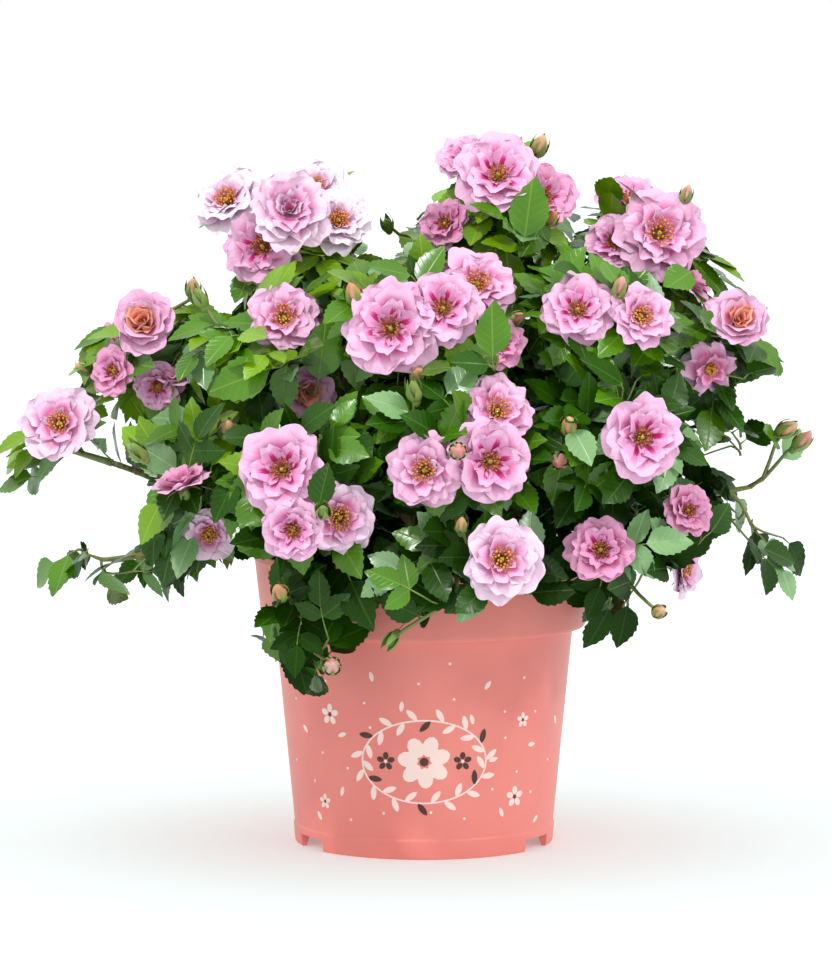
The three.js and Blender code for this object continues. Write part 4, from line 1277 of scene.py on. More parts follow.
def petal(length, slope, cup, frill, width, rng):
    """A grid of points. The claw is near the axis, +X is outwards and +Z is the way it faces."""
    v, u = np.linspace(0, 1, ROWS)[:, None], np.linspace(-1, 1, COLUMNS)[None]
    phase = rng.uniform(0, ANY_PHASE, 4)
    notch = rng.uniform(0.02, 0.11) * np.exp(-(((u - rng.uniform(-0.2, 0.2)) / 0.25) ** 2))
    scallop = rng.uniform(0.01, 0.03) * np.cos(7 * u + phase[3])
    reach = v * (1 - 0.34 * np.abs(u) ** 3.2 * v - (notch + scallop) * v**2)
    arc = np.linspace(0, 1, ARC_POINTS)
    slopes = np.radians(slope[0] + (slope[1] - slope[0]) * arc)
    out, up = bent_line(slopes)
    half = width * (0.2 + 0.9 * np.sin(np.minimum(v, WIDEST) / WIDEST * np.pi / 2) ** 1.2)
    half = half * (1 - 1.2 * np.maximum(v - WIDEST, 0) ** 1.4)
    slow = (0.3 + 0.7 * np.abs(u)) * np.sin(4.6 * u + phase[0])
    quick = 0.55 * np.abs(u) * np.sin(8 * u + 3 * v + phase[1])
    twist = rng.uniform(-0.25, 0.25) * u * half * v
    lift = cup * u**2 * half + frill * v**2.2 * (slow + quick) + twist
    here = np.interp(reach, arc, slopes)
    x = np.interp(reach, arc, out) - lift * np.sin(here)
    y = u * half + rng.uniform(-0.1, 0.1) * v**2
    z = np.interp(reach, arc, up) + lift * np.cos(here)
    points = np.stack(np.broadcast_arrays(x, y, z), axis=-1).reshape(-1, 3) * length
    uv = np.stack(np.broadcast_arrays(0.5 + 0.5 * u, v), axis=-1).reshape(-1, 2)
    return points, uv


print("quads in a petal:", len(grid_faces(ROWS, COLUMNS)))

# %% [markdown]
# ## Blooms: kinds
# Each kind gives its rings of petals: how many, how long against the bloom's half width, the
# slope at claw and end in degrees, cup, frill, half width and finish. Young blooms are cupped
# and salmon, double ones stay closed over their eye, old ones are wide and pale.

# %% Kinds of bloom
OPEN = ((28, -14), (40, 2), (54, 16), (66, 44))  # slopes of the four rings of an open bloom
KINDS = {
    "pale": (
        (6, 1.0, OPEN[0], 0.1, 0.09, 0.53, "pale"), (6, 0.86, OPEN[1], 0.12, 0.1, 0.48, "pale"),
        (5, 0.66, OPEN[2], 0.15, 0.1, 0.4, "blush"), (4, 0.42, OPEN[3], 0.3, 0.1, 0.26, "blush"),
    ),
    "white": (
        (6, 1.0, OPEN[0], 0.1, 0.1, 0.53, "white"), (6, 0.86, OPEN[1], 0.12, 0.11, 0.48, "white"),
        (6, 0.68, OPEN[2], 0.18, 0.12, 0.38, "white"), (5, 0.46, OPEN[3], 0.3, 0.12, 0.26, "pale"),
    ),
    "pink": (
        (6, 1.0, OPEN[0], 0.1, 0.09, 0.53, "blush"), (6, 0.88, OPEN[1], 0.12, 0.1, 0.48, "blush"),
        (6, 0.68, OPEN[2], 0.15, 0.11, 0.37, "blush"), (5, 0.42, OPEN[3], 0.3, 0.1, 0.22, "pink"),
    ),
    "gold": (
        (6, 1.0, OPEN[0], 0.1, 0.1, 0.5, "blush"), (6, 0.88, OPEN[1], 0.12, 0.11, 0.45, "blush"),
        (6, 0.68, OPEN[2], 0.15, 0.12, 0.36, "blush"), (5, 0.46, OPEN[3], 0.3, 0.12, 0.25, "blush"),
    ),
    "deep": (
        (6, 1.0, (32, -8), 0.14, 0.09, 0.48, "pink"), (6, 0.88, (44, 10), 0.18, 0.1, 0.44, "pink"),
        (6, 0.66, (58, 28), 0.22, 0.1, 0.36, "pink"), (4, 0.42, (68, 50), 0.3, 0.1, 0.24, "pink"),
    ),
    "cupped": (
        (6, 1.1, (52, 10), 0.25, 0.06, 0.5, "blush"), (6, 1.0, (66, 34), 0.35, 0.07, 0.5, "blush"),
        (6, 0.86, (78, 58), 0.45, 0.08, 0.44, "salmon"), (5, 0.7, (84, 74), 0.5, 0.08, 0.36, "salmon"),
        (4, 0.55, (88, 86), 0.5, 0.08, 0.26, "salmon"),
    ),
    "side": (
        (6, 1.05, (34, -6), 0.14, 0.08, 0.48, "blush"), (6, 0.92, (52, 18), 0.2, 0.09, 0.44, "pink"),
        (5, 0.72, (66, 40), 0.25, 0.09, 0.36, "pink"),
    ),
    "faded": (
        (6, 1.1, (8, -70), 0.1, 0.12, 0.42, "pale"), (6, 0.95, (34, -30), 0.2, 0.12, 0.38, "blush"),
        (5, 0.7, (58, 20), 0.25, 0.1, 0.32, "pink"),
    ),
    "double": (
        (7, 1.0, OPEN[0], 0.1, 0.1, 0.46, "pale"), (7, 0.88, OPEN[1], 0.14, 0.11, 0.43, "pale"),
        (7, 0.72, (58, 24), 0.22, 0.12, 0.38, "blush"), (6, 0.54, (68, 56), 0.35, 0.12, 0.32, "pale"),
        (6, 0.42, (76, 70), 0.4, 0.12, 0.28, "blush"),
    ),
}
EYE_OPEN = {  # how wide the eye is, 0 for one that is hidden
    "pale": 1.0, "white": 0.8, "pink": 0.65, "gold": 1.1, "deep": 0.75, "cupped": 0.0,
    "double": 0.0, "side": 0.9, "faded": 0.5,
}
print("kinds of bloom:", len(KINDS))

# %% [markdown]
# ## Blooms: petals in rings
# The petals of a ring stand evenly round the facing, with some chance in turn, tilt and size.
# Pink and deep blooms have a dark flare at the claw, round the eye, and the others a faint
# one. The claw is a patch apart, so that its colour stays sharp wherever the model is used.

# %% Set petals in rings
FLARED = ("pink", "deep")
FLARE_ROWS, LONG_FLARE_ROWS = 5, 8  # the long flare is on the inner petals of flared kinds
LONG_FLARE_STRETCH = (1, 0.46)  # draws the flare's colours out along the petal
PETAL_SIZES = (0.87, 1.02)  # chance in the size of a petal
MOST_TILT = 8  # degrees


def bloom_axes(head, rng):
    """The bloom's own three axes, in rows: two across and its facing."""
    facing = head["facing"]
    across = unit(np.cross(facing, unit(rng.normal(size=3))))
    return np.array((across, np.cross(facing, across), facing))


def grow_bloom(head, petals, flares, rng):
    """Adds a bloom's petals and claws to the patches, and notes its axes and its foot."""
    axes = bloom_axes(head, rng)
    radius = head["width"] / 2
    base = head["at"] - axes[2] * head["width"] * BLOOM_SEAT
    head["axes"], head["base"] = axes, base
    flare = flares["strong" if head["kind"] in FLARED else "faint"]
    for ring, (count, length, slope, cup, frill, width, finish) in enumerate(KINDS[head["kind"]]):
        start = rng.uniform(0, ANY_PHASE)
        for i in range(count):
            tilt = rng.uniform(-MOST_TILT, MOST_TILT)
            size = radius * length * rng.uniform(*PETAL_SIZES)
            points, uv = petal(size, (slope[0] + tilt, slope[1] + 1.6 * tilt), cup, frill, width, rng)
            turn = start + 2 * math.pi * (i + rng.uniform(-0.12, 0.12)) / count
            points[:, 0] += radius * (0.07 + 0.03 * ring if EYE_OPEN[head["kind"]] else 0.05)
            points[:, 2] += radius * 0.02 * ring
            at = base + points @ spun(turn) @ axes
            faces = grid_faces(ROWS, COLUMNS)
            long = head["kind"] in FLARED and ring > 1
            rows = LONG_FLARE_ROWS if long else FLARE_ROWS
            split, first = (rows - 1) * (COLUMNS - 1), (rows - 1) * COLUMNS
            flare_uv = uv[: rows * COLUMNS] * (LONG_FLARE_STRETCH if long else (1, 1))
            flare.append((at[: rows * COLUMNS], [faces[:split]], flare_uv))
            petals[finish].append((at[first:], [faces[split:] - first], uv[first:]))


# %% [markdown]
# ## Blooms: petal finishes
# Petals are thin, dry and velvety: high roughness with a little sheen. From claw to end the
# colour runs from cream through the flare to pink and a pale edge, with fine veins. It is read
# from the petal's own UV map, since it has to follow each petal. It changes sooner at the
# sides of a petal, and a noise makes it uneven.

# %% Petal finishes
UNEVEN = 0.22  # how far the noise moves the colours along the petal
PETAL_VEINS = 150.0  # of a sine across the petal: a vein every mm on one of 25 mm


def along_petal(tree, bend, unevenness):
    """How far along the petal a point is, more at its sides and with some unevenness."""
    place = add_node(tree, "ShaderNodeUVMap", uv_map="own")
    parts = add_node(tree, "ShaderNodeSeparateXYZ", {0: place.outputs["UV"]})
    off = add_node(tree, "ShaderNodeMath", {0: parts.outputs["X"], 1: 0.5}, operation="SUBTRACT")
    off = add_node(tree, "ShaderNodeMath", {0: off.outputs[0], 1: off.outputs[0]}, operation="MULTIPLY")
    way = parts.outputs["Y"]
    for value, amount in ((off.outputs[0], bend), (unevenness.outputs["Fac"], UNEVEN)):
        added = add_node(tree, "ShaderNodeMath", {0: value, 1: amount, 2: way}, operation="MULTIPLY_ADD")
        way = added.outputs[0]
    return way, place.outputs["UV"], parts.outputs["X"]


def velvet_petal(name, low, middle, edge):
    """Velvety petal, paler to its edge, with fine veins 1 mm apart that fan out from the claw."""
    sheen = {"Sheen Weight": 0.25, "Sheen Roughness": 0.5, "Specular IOR Level": 0.3}
    material, tree, shader = new_finish(name, middle, 0.62, sheen)
    here = add_node(tree, "ShaderNodeTexCoord").outputs["Object"]
    spots = add_node(tree, "ShaderNodeTexNoise", {"Vector": here, "Scale": 60.0, "Detail": 2.0})
    way, uv, across = along_petal(tree, 0.9, spots)
    ramp = add_node(tree, "ShaderNodeValToRGB", {"Fac": way})
    stops = ramp.color_ramp.elements
    stops[0].position, stops[0].color = 0.42, linear(low)
    stops[1].position, stops[1].color = 0.94, linear(edge)
    stops.new(0.68).color = linear(middle)
    vein = add_node(tree, "ShaderNodeMath", {0: across, 1: PETAL_VEINS}, operation="MULTIPLY")
    vein = add_node(tree, "ShaderNodeMath", {0: vein.outputs[0]}, operation="SINE")
    depth = add_node(
        tree, "ShaderNodeMapRange",
        {"Value": vein.outputs[0], "From Min": 0.2, "From Max": 1.0, "To Min": 0.0, "To Max": 0.14},
    )
    mix = add_node(
        tree, "ShaderNodeMix",
        {"Factor": depth.outputs[0], 6: ramp.outputs["Color"], 7: linear(low)}, data_type="RGBA",
    )
    tree.links.new(mix.outputs[2], shader.inputs["Base Color"])
    drawn_out = add_node(tree, "ShaderNodeMapping", {"Vector": uv, "Scale": (9, 1.6, 1)}).outputs[0]
    folds = add_node(tree, "ShaderNodeTexNoise", {"Vector": drawn_out, "Scale": 1.0, "Detail": 2.0})
    bump = add_node(
        tree, "ShaderNodeBump", {"Height": folds.outputs["Fac"], "Strength": 0.6, "Distance": 0.0016}
    )
    tree.links.new(bump.outputs["Normal"], shader.inputs["Normal"])
    return material


def flare_finish(name, claw, dark, mid, end):
    """The lower part of a petal: cream claw, a streaky flare, then the pink of the petal."""
    sheen = {"Sheen Weight": 0.2, "Specular IOR Level": 0.25}
    material, tree, shader = new_finish(name, mid, 0.62, sheen)
    drawn_out = add_node(tree, "ShaderNodeMapping", {"Scale": (12, 1.2, 1)})
    streaks = add_node(
        tree, "ShaderNodeTexNoise", {"Vector": drawn_out.outputs[0], "Scale": 2.0, "Detail": 2.0}
    )
    way, uv, _ = along_petal(tree, 4.5, streaks)
    tree.links.new(uv, drawn_out.inputs["Vector"])
    ramp = add_node(tree, "ShaderNodeValToRGB", {"Fac": way})
    stops = ramp.color_ramp.elements
    stops[0].position, stops[0].color = 0.15, linear(claw)
    stops[1].position, stops[1].color = 0.46, linear(end)
    stops.new(0.22).color = linear(dark)
    stops.new(0.37).color = linear(mid)
    tree.links.new(ramp.outputs["Color"], shader.inputs["Base Color"])
    return material


PETAL_TONES = {
    "white": velvet_petal("velvet_petal_whitish_pink", "#cc7cae", "#d8b0cc", "#ecdeea"),
    "pale": velvet_petal("velvet_petal_pale_pink", "#c86098", "#d48eb8", "#eccfe4"),
    "blush": velvet_petal("velvet_petal_blush_pink", "#c64c8e", "#d474a8", "#eab8d8"),
    "pink": velvet_petal("velvet_petal_deep_pink", "#c4447e", "#d05e92", "#e2a0c4"),
    "salmon": velvet_petal("velvet_petal_salmon", "#f0482c", "#f87c5a", "#f6b49c"),
}
FLARE_TONES = {
    "strong": flare_finish("velvet_petal_magenta_flare", "#dca85c", "#a60c54", "#bc2272", "#e29ac8"),
    "faint": flare_finish("velvet_petal_pink_claw", "#e6b45c", "#de8a8c", "#dc84ac", "#de8cba"),
}
print("petal finishes:", len(PETAL_TONES) + len(FLARE_TONES))

# %% [markdown]
# ## Blooms: one mesh for each finish
# As with the leaves, all petals of one finish are one mesh, and so are all claws.

# %% Grow the blooms
bloom_rng = np.random.default_rng(21)
petal_patches, flare_patches = {n: [] for n in PETAL_TONES}, {n: [] for n in FLARE_TONES}
for head in open_heads:
    grow_bloom(head, petal_patches, flare_patches, bloom_rng)
petal_pieces = [new_piece("petals_" + n, petal_patches[n], PETAL_TONES[n]) for n in PETAL_TONES]
petal_pieces += [new_piece("petal_claws_" + n, flare_patches[n], FLARE_TONES[n]) for n in FLARE_TONES]
stands_for_sprays(petal_pieces)

# %% [markdown]
# ## Eyes: stamens
# Some thirty to fifty stamens stand in the eye of a rose, thin threads with golden tips, round
# a small green-yellow middle. Blooms with a dark flare are older, and their tips have turned
# brown. The threads are three-sided and the tips have eight faces, since there are far over a
# thousand of them.

# %% Set the stamens
OCTA = np.array(((1, 0, 0), (-1, 0, 0), (0, 1, 0), (0, -1, 0), (0, 0, 1), (0, 0, -1)), float)
OCTA_FACES = np.array(
    ((0, 2, 4), (2, 1, 4), (1, 3, 4), (3, 0, 4), (2, 0, 5), (1, 2, 5), (3, 1, 5), (0, 3, 5))
)
STAMENS = {"golden": 46, "brown": 28}
THREAD_RADII = (0.3, 0.25, 0.2)
threads, middles = [], []
anthers = {age: [] for age in STAMENS}
for head in open_heads:
    openness = EYE_OPEN[head["kind"]]
    if openness == 0:
        continue
    age = "brown" if head["kind"] in FLARED else "golden"
    axes, radius = head["axes"], head["width"] / 2
    base = head["base"] + axes[2] * radius * 0.04
    for i in range(STAMENS[age]):
        turn = i * LEAF_TURN
        share = (i + 0.5) / STAMENS[age]
        spread = 0.05 + 0.27 * openness * math.sqrt(share) + bloom_rng.uniform(-0.03, 0.03)
        rise = radius * (0.3 - 0.08 * share) + bloom_rng.uniform(-0.9, 0.9)
        tip = np.array((math.cos(turn) * spread * radius, math.sin(turn) * spread * radius, rise))
        root = tip * (0.35, 0.35, 0)
        line = base + np.array((root, (root + tip) * (0.6, 0.6, 0.5), tip)) @ axes
        threads.append(tube(line, np.array(THREAD_RADII), 3))
        grain = base + (OCTA * (1.0, 0.75, 0.6) * bloom_rng.uniform(0.8, 1.25) + tip) @ axes
        anthers[age].append((grain, [OCTA_FACES], np.zeros((6, 2))))
    centre = base + (OCTA * (2.0, 2.0, 2.2) + (0, 0, radius * 0.14)) @ axes
    middles.append((centre, [OCTA_FACES], np.zeros((6, 2))))
print("stamens:", len(threads))

# %% [markdown]
# ## Finishes in two close tones
# Pollen, young skin, bark and peat all show two close tones in patches, and most a relief in
# the same places. One function deals them out by a noise on the piece's own coordinates, and
# each finish gives its own tones, grain and relief.

# %% Finishes in two tones
def two_toned(name, main, roughness, tones, noise, relief=None, stretch=None):
    """tones are (share of the noise, colour) twice, relief is (strength, depth in metres)."""
    material, tree, shader = new_finish(name, main, roughness)
    here = add_node(tree, "ShaderNodeTexCoord").outputs["Object"]
    if stretch:
        here = add_node(tree, "ShaderNodeMapping", {"Vector": here, "Scale": stretch}).outputs["Vector"]
    grain = add_node(tree, "ShaderNodeTexNoise", {"Vector": here} | noise).outputs["Fac"]
    ramp = add_node(tree, "ShaderNodeValToRGB", {"Fac": grain})
    for stop, (share, colour) in zip(ramp.color_ramp.elements, tones):
        stop.position, stop.color = share, linear(colour)
    tree.links.new(ramp.outputs["Color"], shader.inputs["Base Color"])
    if relief:
        strength, depth = relief
        bump = add_node(tree, "ShaderNodeBump", {"Height": grain, "Strength": strength, "Distance": depth})
        tree.links.new(bump.outputs["Normal"], shader.inputs["Normal"])
    return material


def dusty(name, one, two, scale):
    """Dry pollen or cut thread: matt, in patches of a few mm, so that no two grains match."""
    return two_toned(name, one, 0.85, ((0.4, one), (0.62, two)), {"Scale": scale})


def young_skin(name, one, two):
    """Skin of a calyx, a twig or a furled petal: semi-matt, warmer in patches 1 to 2 cm wide."""
    noise = {"Scale": 45.0, "Detail": 3.0}
    return two_toned(name, one, 0.5, ((0.38, one), (0.66, two)), noise, (0.2, 0.0005))


def fibrous(name, light, dark, depth):
    """Bark or peat: matt, in dark and light streaks some 2 mm wide that run upwards."""
    noise = {"Scale": 420.0, "Detail": 5.0, "Roughness": 0.6}
    return two_toned(name, light, 0.78, ((0.36, dark), (0.62, light)), noise, (0.6, depth), (1, 1, 0.22))


gold = dusty("dry_pollen_gold", "#c47a24", "#e6ac48", 260.0)
brown = dusty("dry_pollen_brown", "#7c3c20", "#c07c34", 260.0)
stands_for_sprays([
    new_piece("stamen_threads", threads, dusty("soft_stamen_thread", "#cf6a3c", "#e2a04c", 300.0)),
    new_piece("stamen_tips_golden", anthers["golden"], gold),
    new_piece("stamen_tips_brown", anthers["brown"], brown),
    new_piece("bloom_middles", middles, dusty("soft_pistil_yellow_green", "#a7a339", "#cdbb55", 500.0)),
])

# %% [markdown]
# ## Hips, sepals and buds
# Under each bloom sits a small green urn with five long sepals. A bud is the same urn with
# furled petals above it, wrapped by the sepals. Late buds are all green, riper ones show
# peach or pink.

# %% Shape urns, sepals and buds
SEPALS = 5
SEPAL_WIDTHS = np.array((0.8, 1.0, 0.8, 0.5, 0.25, 0.02))  # from foot to tip
# (radius, height) in mm of the urn under a bloom, and under a bud, and of a bud's furled petals
URN = ((0.4, -7.5), (1.5, -7), (2.6, -5), (3.0, -3), (2.5, -1), (3.0, 0.6), (0.5, 1.2))
BUD_URN = np.array(((0.4, -5), (1.6, -4.6), (2.7, -3), (3.0, -1), (2.7, 0.8), (0.5, 1.2)))
BUD_BODY = np.array(((1.5, 0), (3.9, 3), (4.9, 6.5), (4.5, 10), (2.9, 13.5), (1.2, 16), (0.2, 16.8)))
UNRIPE = (0.72, 0.85)  # how much slimmer and shorter a green bud is


def sepal(length, width, slopes):
    """A narrow pointed blade that follows an arc, its keel outwards."""
    rows = len(SEPAL_WIDTHS)
    u = np.array((-1.0, 0.0, 1.0))[None]
    out, up = bent_line(np.radians(np.linspace(*slopes, rows)))
    half = width / 2 * SEPAL_WIDTHS[:, None]
    x = length * out[:, None] + 0.3 * half * (1 - np.abs(u))
    points = np.stack(np.broadcast_arrays(x, u * half, length * up[:, None] + 0 * u), axis=-1)
    return points.reshape(-1, 3), [grid_faces(rows, 3)], np.zeros((3 * rows, 2))


greens, furled = [], {"peach": [], "rose": []}
for head in open_heads:
    axes = head["axes"]
    greens.append(placed(lathe(URN, 8), head["base"], axes))
    slopes = (20, -60) if EYE_OPEN[head["kind"]] else (60, 20)
    for i in range(SEPALS):
        blade = sepal(head["width"] * 0.3, 5.0, slopes)
        greens.append(placed(blade, head["base"] - axes[2] * 0.4, axes, 2 * math.pi * i / SEPALS, 1.8))
all_buds = [t for s in sprays.values() for t in s["twigs"] if t["kind"] == "bud"]
for number, head in enumerate(all_buds):
    facing = unit(head["facing"] + (0, -0.2, 0.5 if number % 3 else -0.1))
    across = unit(np.cross(facing, (0.3, 0.8, 0.1)))
    axes = np.array((across, np.cross(facing, across), facing))
    size = bloom_rng.uniform(0.75, 1.1)
    base = head["at"] - facing * 7 * size
    greens.append(placed(lathe(size * BUD_URN, 8), base, axes))
    ripe = number % 4 != 1
    body = lathe(size * BUD_BODY * ((1, 1) if ripe else UNRIPE), 9)
    kin = furled["peach" if number % 4 else "rose"] if ripe else greens
    kin.append(placed(body, base, axes))
    for i in range(SEPALS):
        length = size * (17 if ripe else 18)
        blade = sepal(length, size * 6.2, (58, 128) if ripe else (66, 118))
        greens.append(placed(blade, base, axes, 2 * math.pi * i / SEPALS, 2.4 * size))
stands_for_sprays([
    new_piece("sepals", greens, young_skin("soft_sepal_green", "#6d8c3c", "#9aa85a")),
    new_piece("buds_peach", furled["peach"], young_skin("furled_petal_peach", "#d6b084", "#cb8058")),
    new_piece("buds_rose", furled["rose"], young_skin("furled_petal_rose", "#dcaaa0", "#cf7470")),
])

# %% [markdown]
# ## Twigs and leaf stalks
# Twigs of this year are smooth and 1 to 3 mm thick, green in places and brownish in others. A
# spray's stem carries on from the tip of its cane, and twigs start inside the stem, so that no
# joint gapes. Twigs to blooms end in the urn under the bloom.

# %% Grow the twigs
SHOOT = (1.0, 0.6)  # radius at root and tip
STEM_STEPS, STEM_SIDES = 8, 7
TWIG_STEP, TWIG_SIDES = 9, 5  # mm between rings, and sides
twig_patches = []
for s in sprays.values():
    line = along(s["stem"], np.linspace(0, 1, STEM_STEPS))
    thick = np.linspace(CANE[1], SPRAY_STEM_TIP, STEM_STEPS)
    twig_patches.append(tube(line, thick, STEM_SIDES))
    for twig in s["twigs"]:
        if not twig["grown"]:
            continue
        steps = max(5, int(length_of(twig["curve"]) / TWIG_STEP))
        line = along(twig["curve"], np.linspace(0, twig["grown"], steps))
        if "base" in twig:
            line[-1] = twig["base"] - twig["axes"][2] * 6
            line[-2] = 0.5 * line[-2] + 0.5 * (line[-1] - twig["axes"][2] * 9)
        radii = SHOOT if twig["kind"] == "shoot" else TWIG
        twig_patches.append(tube(line, np.linspace(*radii, steps), TWIG_SIDES))
stands_for_sprays([
    new_piece("twigs", twig_patches, young_skin("smooth_young_twig", "#6f8a4a", "#8a7a45")),
    new_piece("leaf_stalks", stalks, young_skin("smooth_leaf_stalk", "#6f9437", "#8c9a4c")),
])

# %% [markdown]
# ## Canes and the woody foot
# The foot of a budded rose is a knobbly lump. The canes that leave it are brown-green, with
# rings where leaves once stood, and ripple slightly. All start inside what carries them.

# %% Grow the canes
CANE_STEP, CANE_SIDES = 3.5, 9  # mm between rings, and sides
KNOT_STEP, KNOT = 24, 0.1  # mm between the rings of old leaves, and how far they swell
RIPPLE, KNOBS = 0.05, 0.09  # chance in the radius of a cane and of the foot, as shares of it
FOOT = np.array((  # (radius, height) in mm
    (17.5, 175), (18, 179), (16.6, 184), (14.8, 188), (14.6, 192), (13.6, 196), (12.6, 200),
    (9.5, 203), (3, 204.2),
))
FOOT_SIDES = 18
wood_rng = np.random.default_rng(8)
cane_patches = []
for name, curve in limbs.items():
    steps = max(12, int(length_of(curve) / CANE_STEP))
    shares = np.linspace(0, 1, steps)
    root_radius, tip_radius = limb_radii[name]
    thick = root_radius + (tip_radius - root_radius) * shares
    knots = KNOT * np.maximum(0, np.cos(shares * length_of(curve) / KNOT_STEP * 2 * np.pi)) ** 8
    bumps = wood_rng.uniform(-RIPPLE, RIPPLE, (steps, CANE_SIDES)) + knots[:, None]
    cane_patches.append(tube(along(curve, shares), thick, CANE_SIDES, bumps))
knobs = wood_rng.uniform(-KNOBS, KNOBS, (len(FOOT), FOOT_SIDES))
foot_patch = tube(FOOT[:, 1:] * (0, 0, 1), FOOT[:, 0], FOOT_SIDES, knobs)

cane_bark = fibrous("green_brown_cane_bark", "#77773f", "#4e4528", 0.0006)
canes = new_piece("canes", cane_patches, cane_bark)
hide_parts(*["limb_" + name for name in limbs])
foot_bark = fibrous("grey_brown_foot_bark", "#6e5b43", "#33271b", 0.0015)
woody_foot = new_piece("woody_foot", [foot_patch], foot_bark)
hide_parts("stem")

# %% [markdown]
# ## Scattering with Geometry Nodes
# Prickles on the canes and crumbs on the compost are one small shape repeated over a surface,
# which is what Geometry Nodes do well. One tree serves both. Its inputs are how many stand on
# a square metre, the smallest and the largest scale of the shape, and the seed.

# %% Build the scattering tree
def scatter_tree(name, shape, finish, aligned):
    """Repeats a small shape over a mesh. It stands square to the surface, or lies any way."""
    tree = bpy.data.node_groups.new(name, "GeometryNodeTree")
    keys = {}
    for label, kind in (
        ("Geometry", "NodeSocketGeometry"), ("Per square metre", "NodeSocketFloat"),
        ("Smallest", "NodeSocketFloat"), ("Largest", "NodeSocketFloat"), ("Seed", "NodeSocketInt"),
    ):
        keys[label] = tree.interface.new_socket(label, in_out="INPUT", socket_type=kind).identifier
    tree.interface.new_socket("Geometry", in_out="OUTPUT", socket_type="NodeSocketGeometry")
    given = add_node(tree, "NodeGroupInput").outputs
    points = add_node(
        tree, "GeometryNodeDistributePointsOnFaces",
        {"Mesh": given["Geometry"], "Density": given["Per square metre"], "Seed": given["Seed"]},
    )
    size = add_node(
        tree, "FunctionNodeRandomValue", {2: given["Smallest"], 3: given["Largest"], "Seed": given["Seed"]}
    )
    whirl = add_node(
        tree, "FunctionNodeRandomValue", {1: (ANY_PHASE,) * 3, "Seed": given["Seed"]},
        data_type="FLOAT_VECTOR",
    )
    rotation = points.outputs["Rotation"] if aligned else whirl.outputs["Value"]
    form = add_node(tree, shape[0], shape[1])
    placed_shapes = add_node(
        tree, "GeometryNodeInstanceOnPoints",
        {
            "Points": points.outputs["Points"], "Instance": form.outputs["Mesh"],
            "Rotation": rotation, "Scale": size.outputs[1],
        },
    )
    real = add_node(tree, "GeometryNodeRealizeInstances", {0: placed_shapes.outputs[0]})
    painted = add_node(tree, "GeometryNodeSetMaterial", {"Geometry": real.outputs[0], "Material": finish})
    add_node(tree, "NodeGroupOutput", {0: painted.outputs[0]})
    return tree, keys


def scattered_piece(name, over, tree, keys, **values):
    """Runs the tree on a mesh object, and keeps the result as a plain mesh."""
    modifier = over.modifiers.new("scatter", "NODES")
    modifier.node_group = tree
    for label, value in values.items():
        modifier[keys[label.replace("_", " ")]] = value
    mesh = plain_mesh(name, over)
    over.modifiers.remove(modifier)
    print(f"{name}: {len(mesh.polygons)} faces")
    return in_scene(name, mesh)


prickle_finish = young_skin("smooth_prickle_red_brown", "#8a5a3a", "#a8794c")
cone = ("GeometryNodeMeshCone", {"Vertices": 5, "Radius Bottom": 0.0011, "Depth": 0.0036})
prickle_tree, prickle_keys = scatter_tree("prickles", cone, prickle_finish, True)
prickles = scattered_piece(
    "prickles", canes, prickle_tree, prickle_keys,
    Per_square_metre=2600.0, Smallest=0.7, Largest=1.1, Seed=4,
)
for piece in (canes, woody_foot, prickles):
    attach(piece, "root")

# %% [markdown]
# ## Pot: the shell
# The pot is thin moulded polypropylene with a turned-out band under its rim. It is turned
# from one profile, from the middle of its floor round the outside to the inside, whose
# corners are eased as a mould leaves them.

# %% Turn the pot
BAND_FOOT, BAND_TOP, BAND_STEP = 12, 13.2, 0.9  # the wall steps in above a band round the foot
POT_SIDES = 144


def eased(profile):
    """(radius, height, easing) corners become short curves."""
    profile = np.array(profile, float)
    out = [profile[0, :2]]
    for before, here, after in zip(profile, profile[1:], profile[2:]):
        a, b, c = before[:2], here[:2], after[:2]
        cut_a = min(here[2], 0.45 * norm(a - b))
        cut_c = min(here[2], 0.45 * norm(c - b))
        if min(cut_a, cut_c) < 0.05:
            out.append(b)
            continue
        corner = np.array((b + unit(a - b) * cut_a, b, b + unit(c - b) * cut_c))
        out += list(along(corner, np.linspace(0, 1, 5)))
    return np.array(out + [profile[-1, :2]])


collar_z = POT["height"] - POT["collar_height"]
body_slope = (POT["shoulder"] - POT["foot"]) / collar_z


def body_radius(z):
    return POT["foot"] + body_slope * z


foot_inside = POT["foot"] - POT["foot_width"]
collar_foot, rim, top_z, wall = (POT[key] for key in ("collar_foot", "rim", "height", "wall"))
pot_profile = eased((
    (0.5, 0, 0), (POT["pad"], 0, 1.5), (POT["pad"] + 4, POT["channel"], 2),
    (foot_inside - 2, POT["channel"], 1.5), (foot_inside, 0, 1), (POT["foot"], 0, 1),
    (body_radius(BAND_FOOT), BAND_FOOT, 0.8), (body_radius(BAND_TOP) - BAND_STEP, BAND_TOP, 0.8),
    (POT["shoulder"], collar_z, 1.6), (collar_foot - 1, collar_z, 1), (collar_foot, collar_z + 2, 1),
    (collar_foot + 0.5, collar_z + 6, 2), (rim - 0.6, top_z - 6, 2), (rim, top_z - 4.5, 0.8),
    (rim, top_z, 1), (rim - wall, top_z, 1), (collar_foot - wall, collar_z + 4, 2),
    (POT["shoulder"] - wall, collar_z + 2, 1), (body_radius(POT["floor"]) - wall, POT["floor"], 3),
    (0.5, POT["floor"], 0),
))
print("points in the pot's profile:", len(pot_profile))

# %% [markdown]
# ## Pot: plastic
# Coloured polypropylene comes out of the mould with a soft gloss. It is a touch lighter and
# rougher in clouds, and has a fine orange peel, drawn a millimetre wide so that it shows.

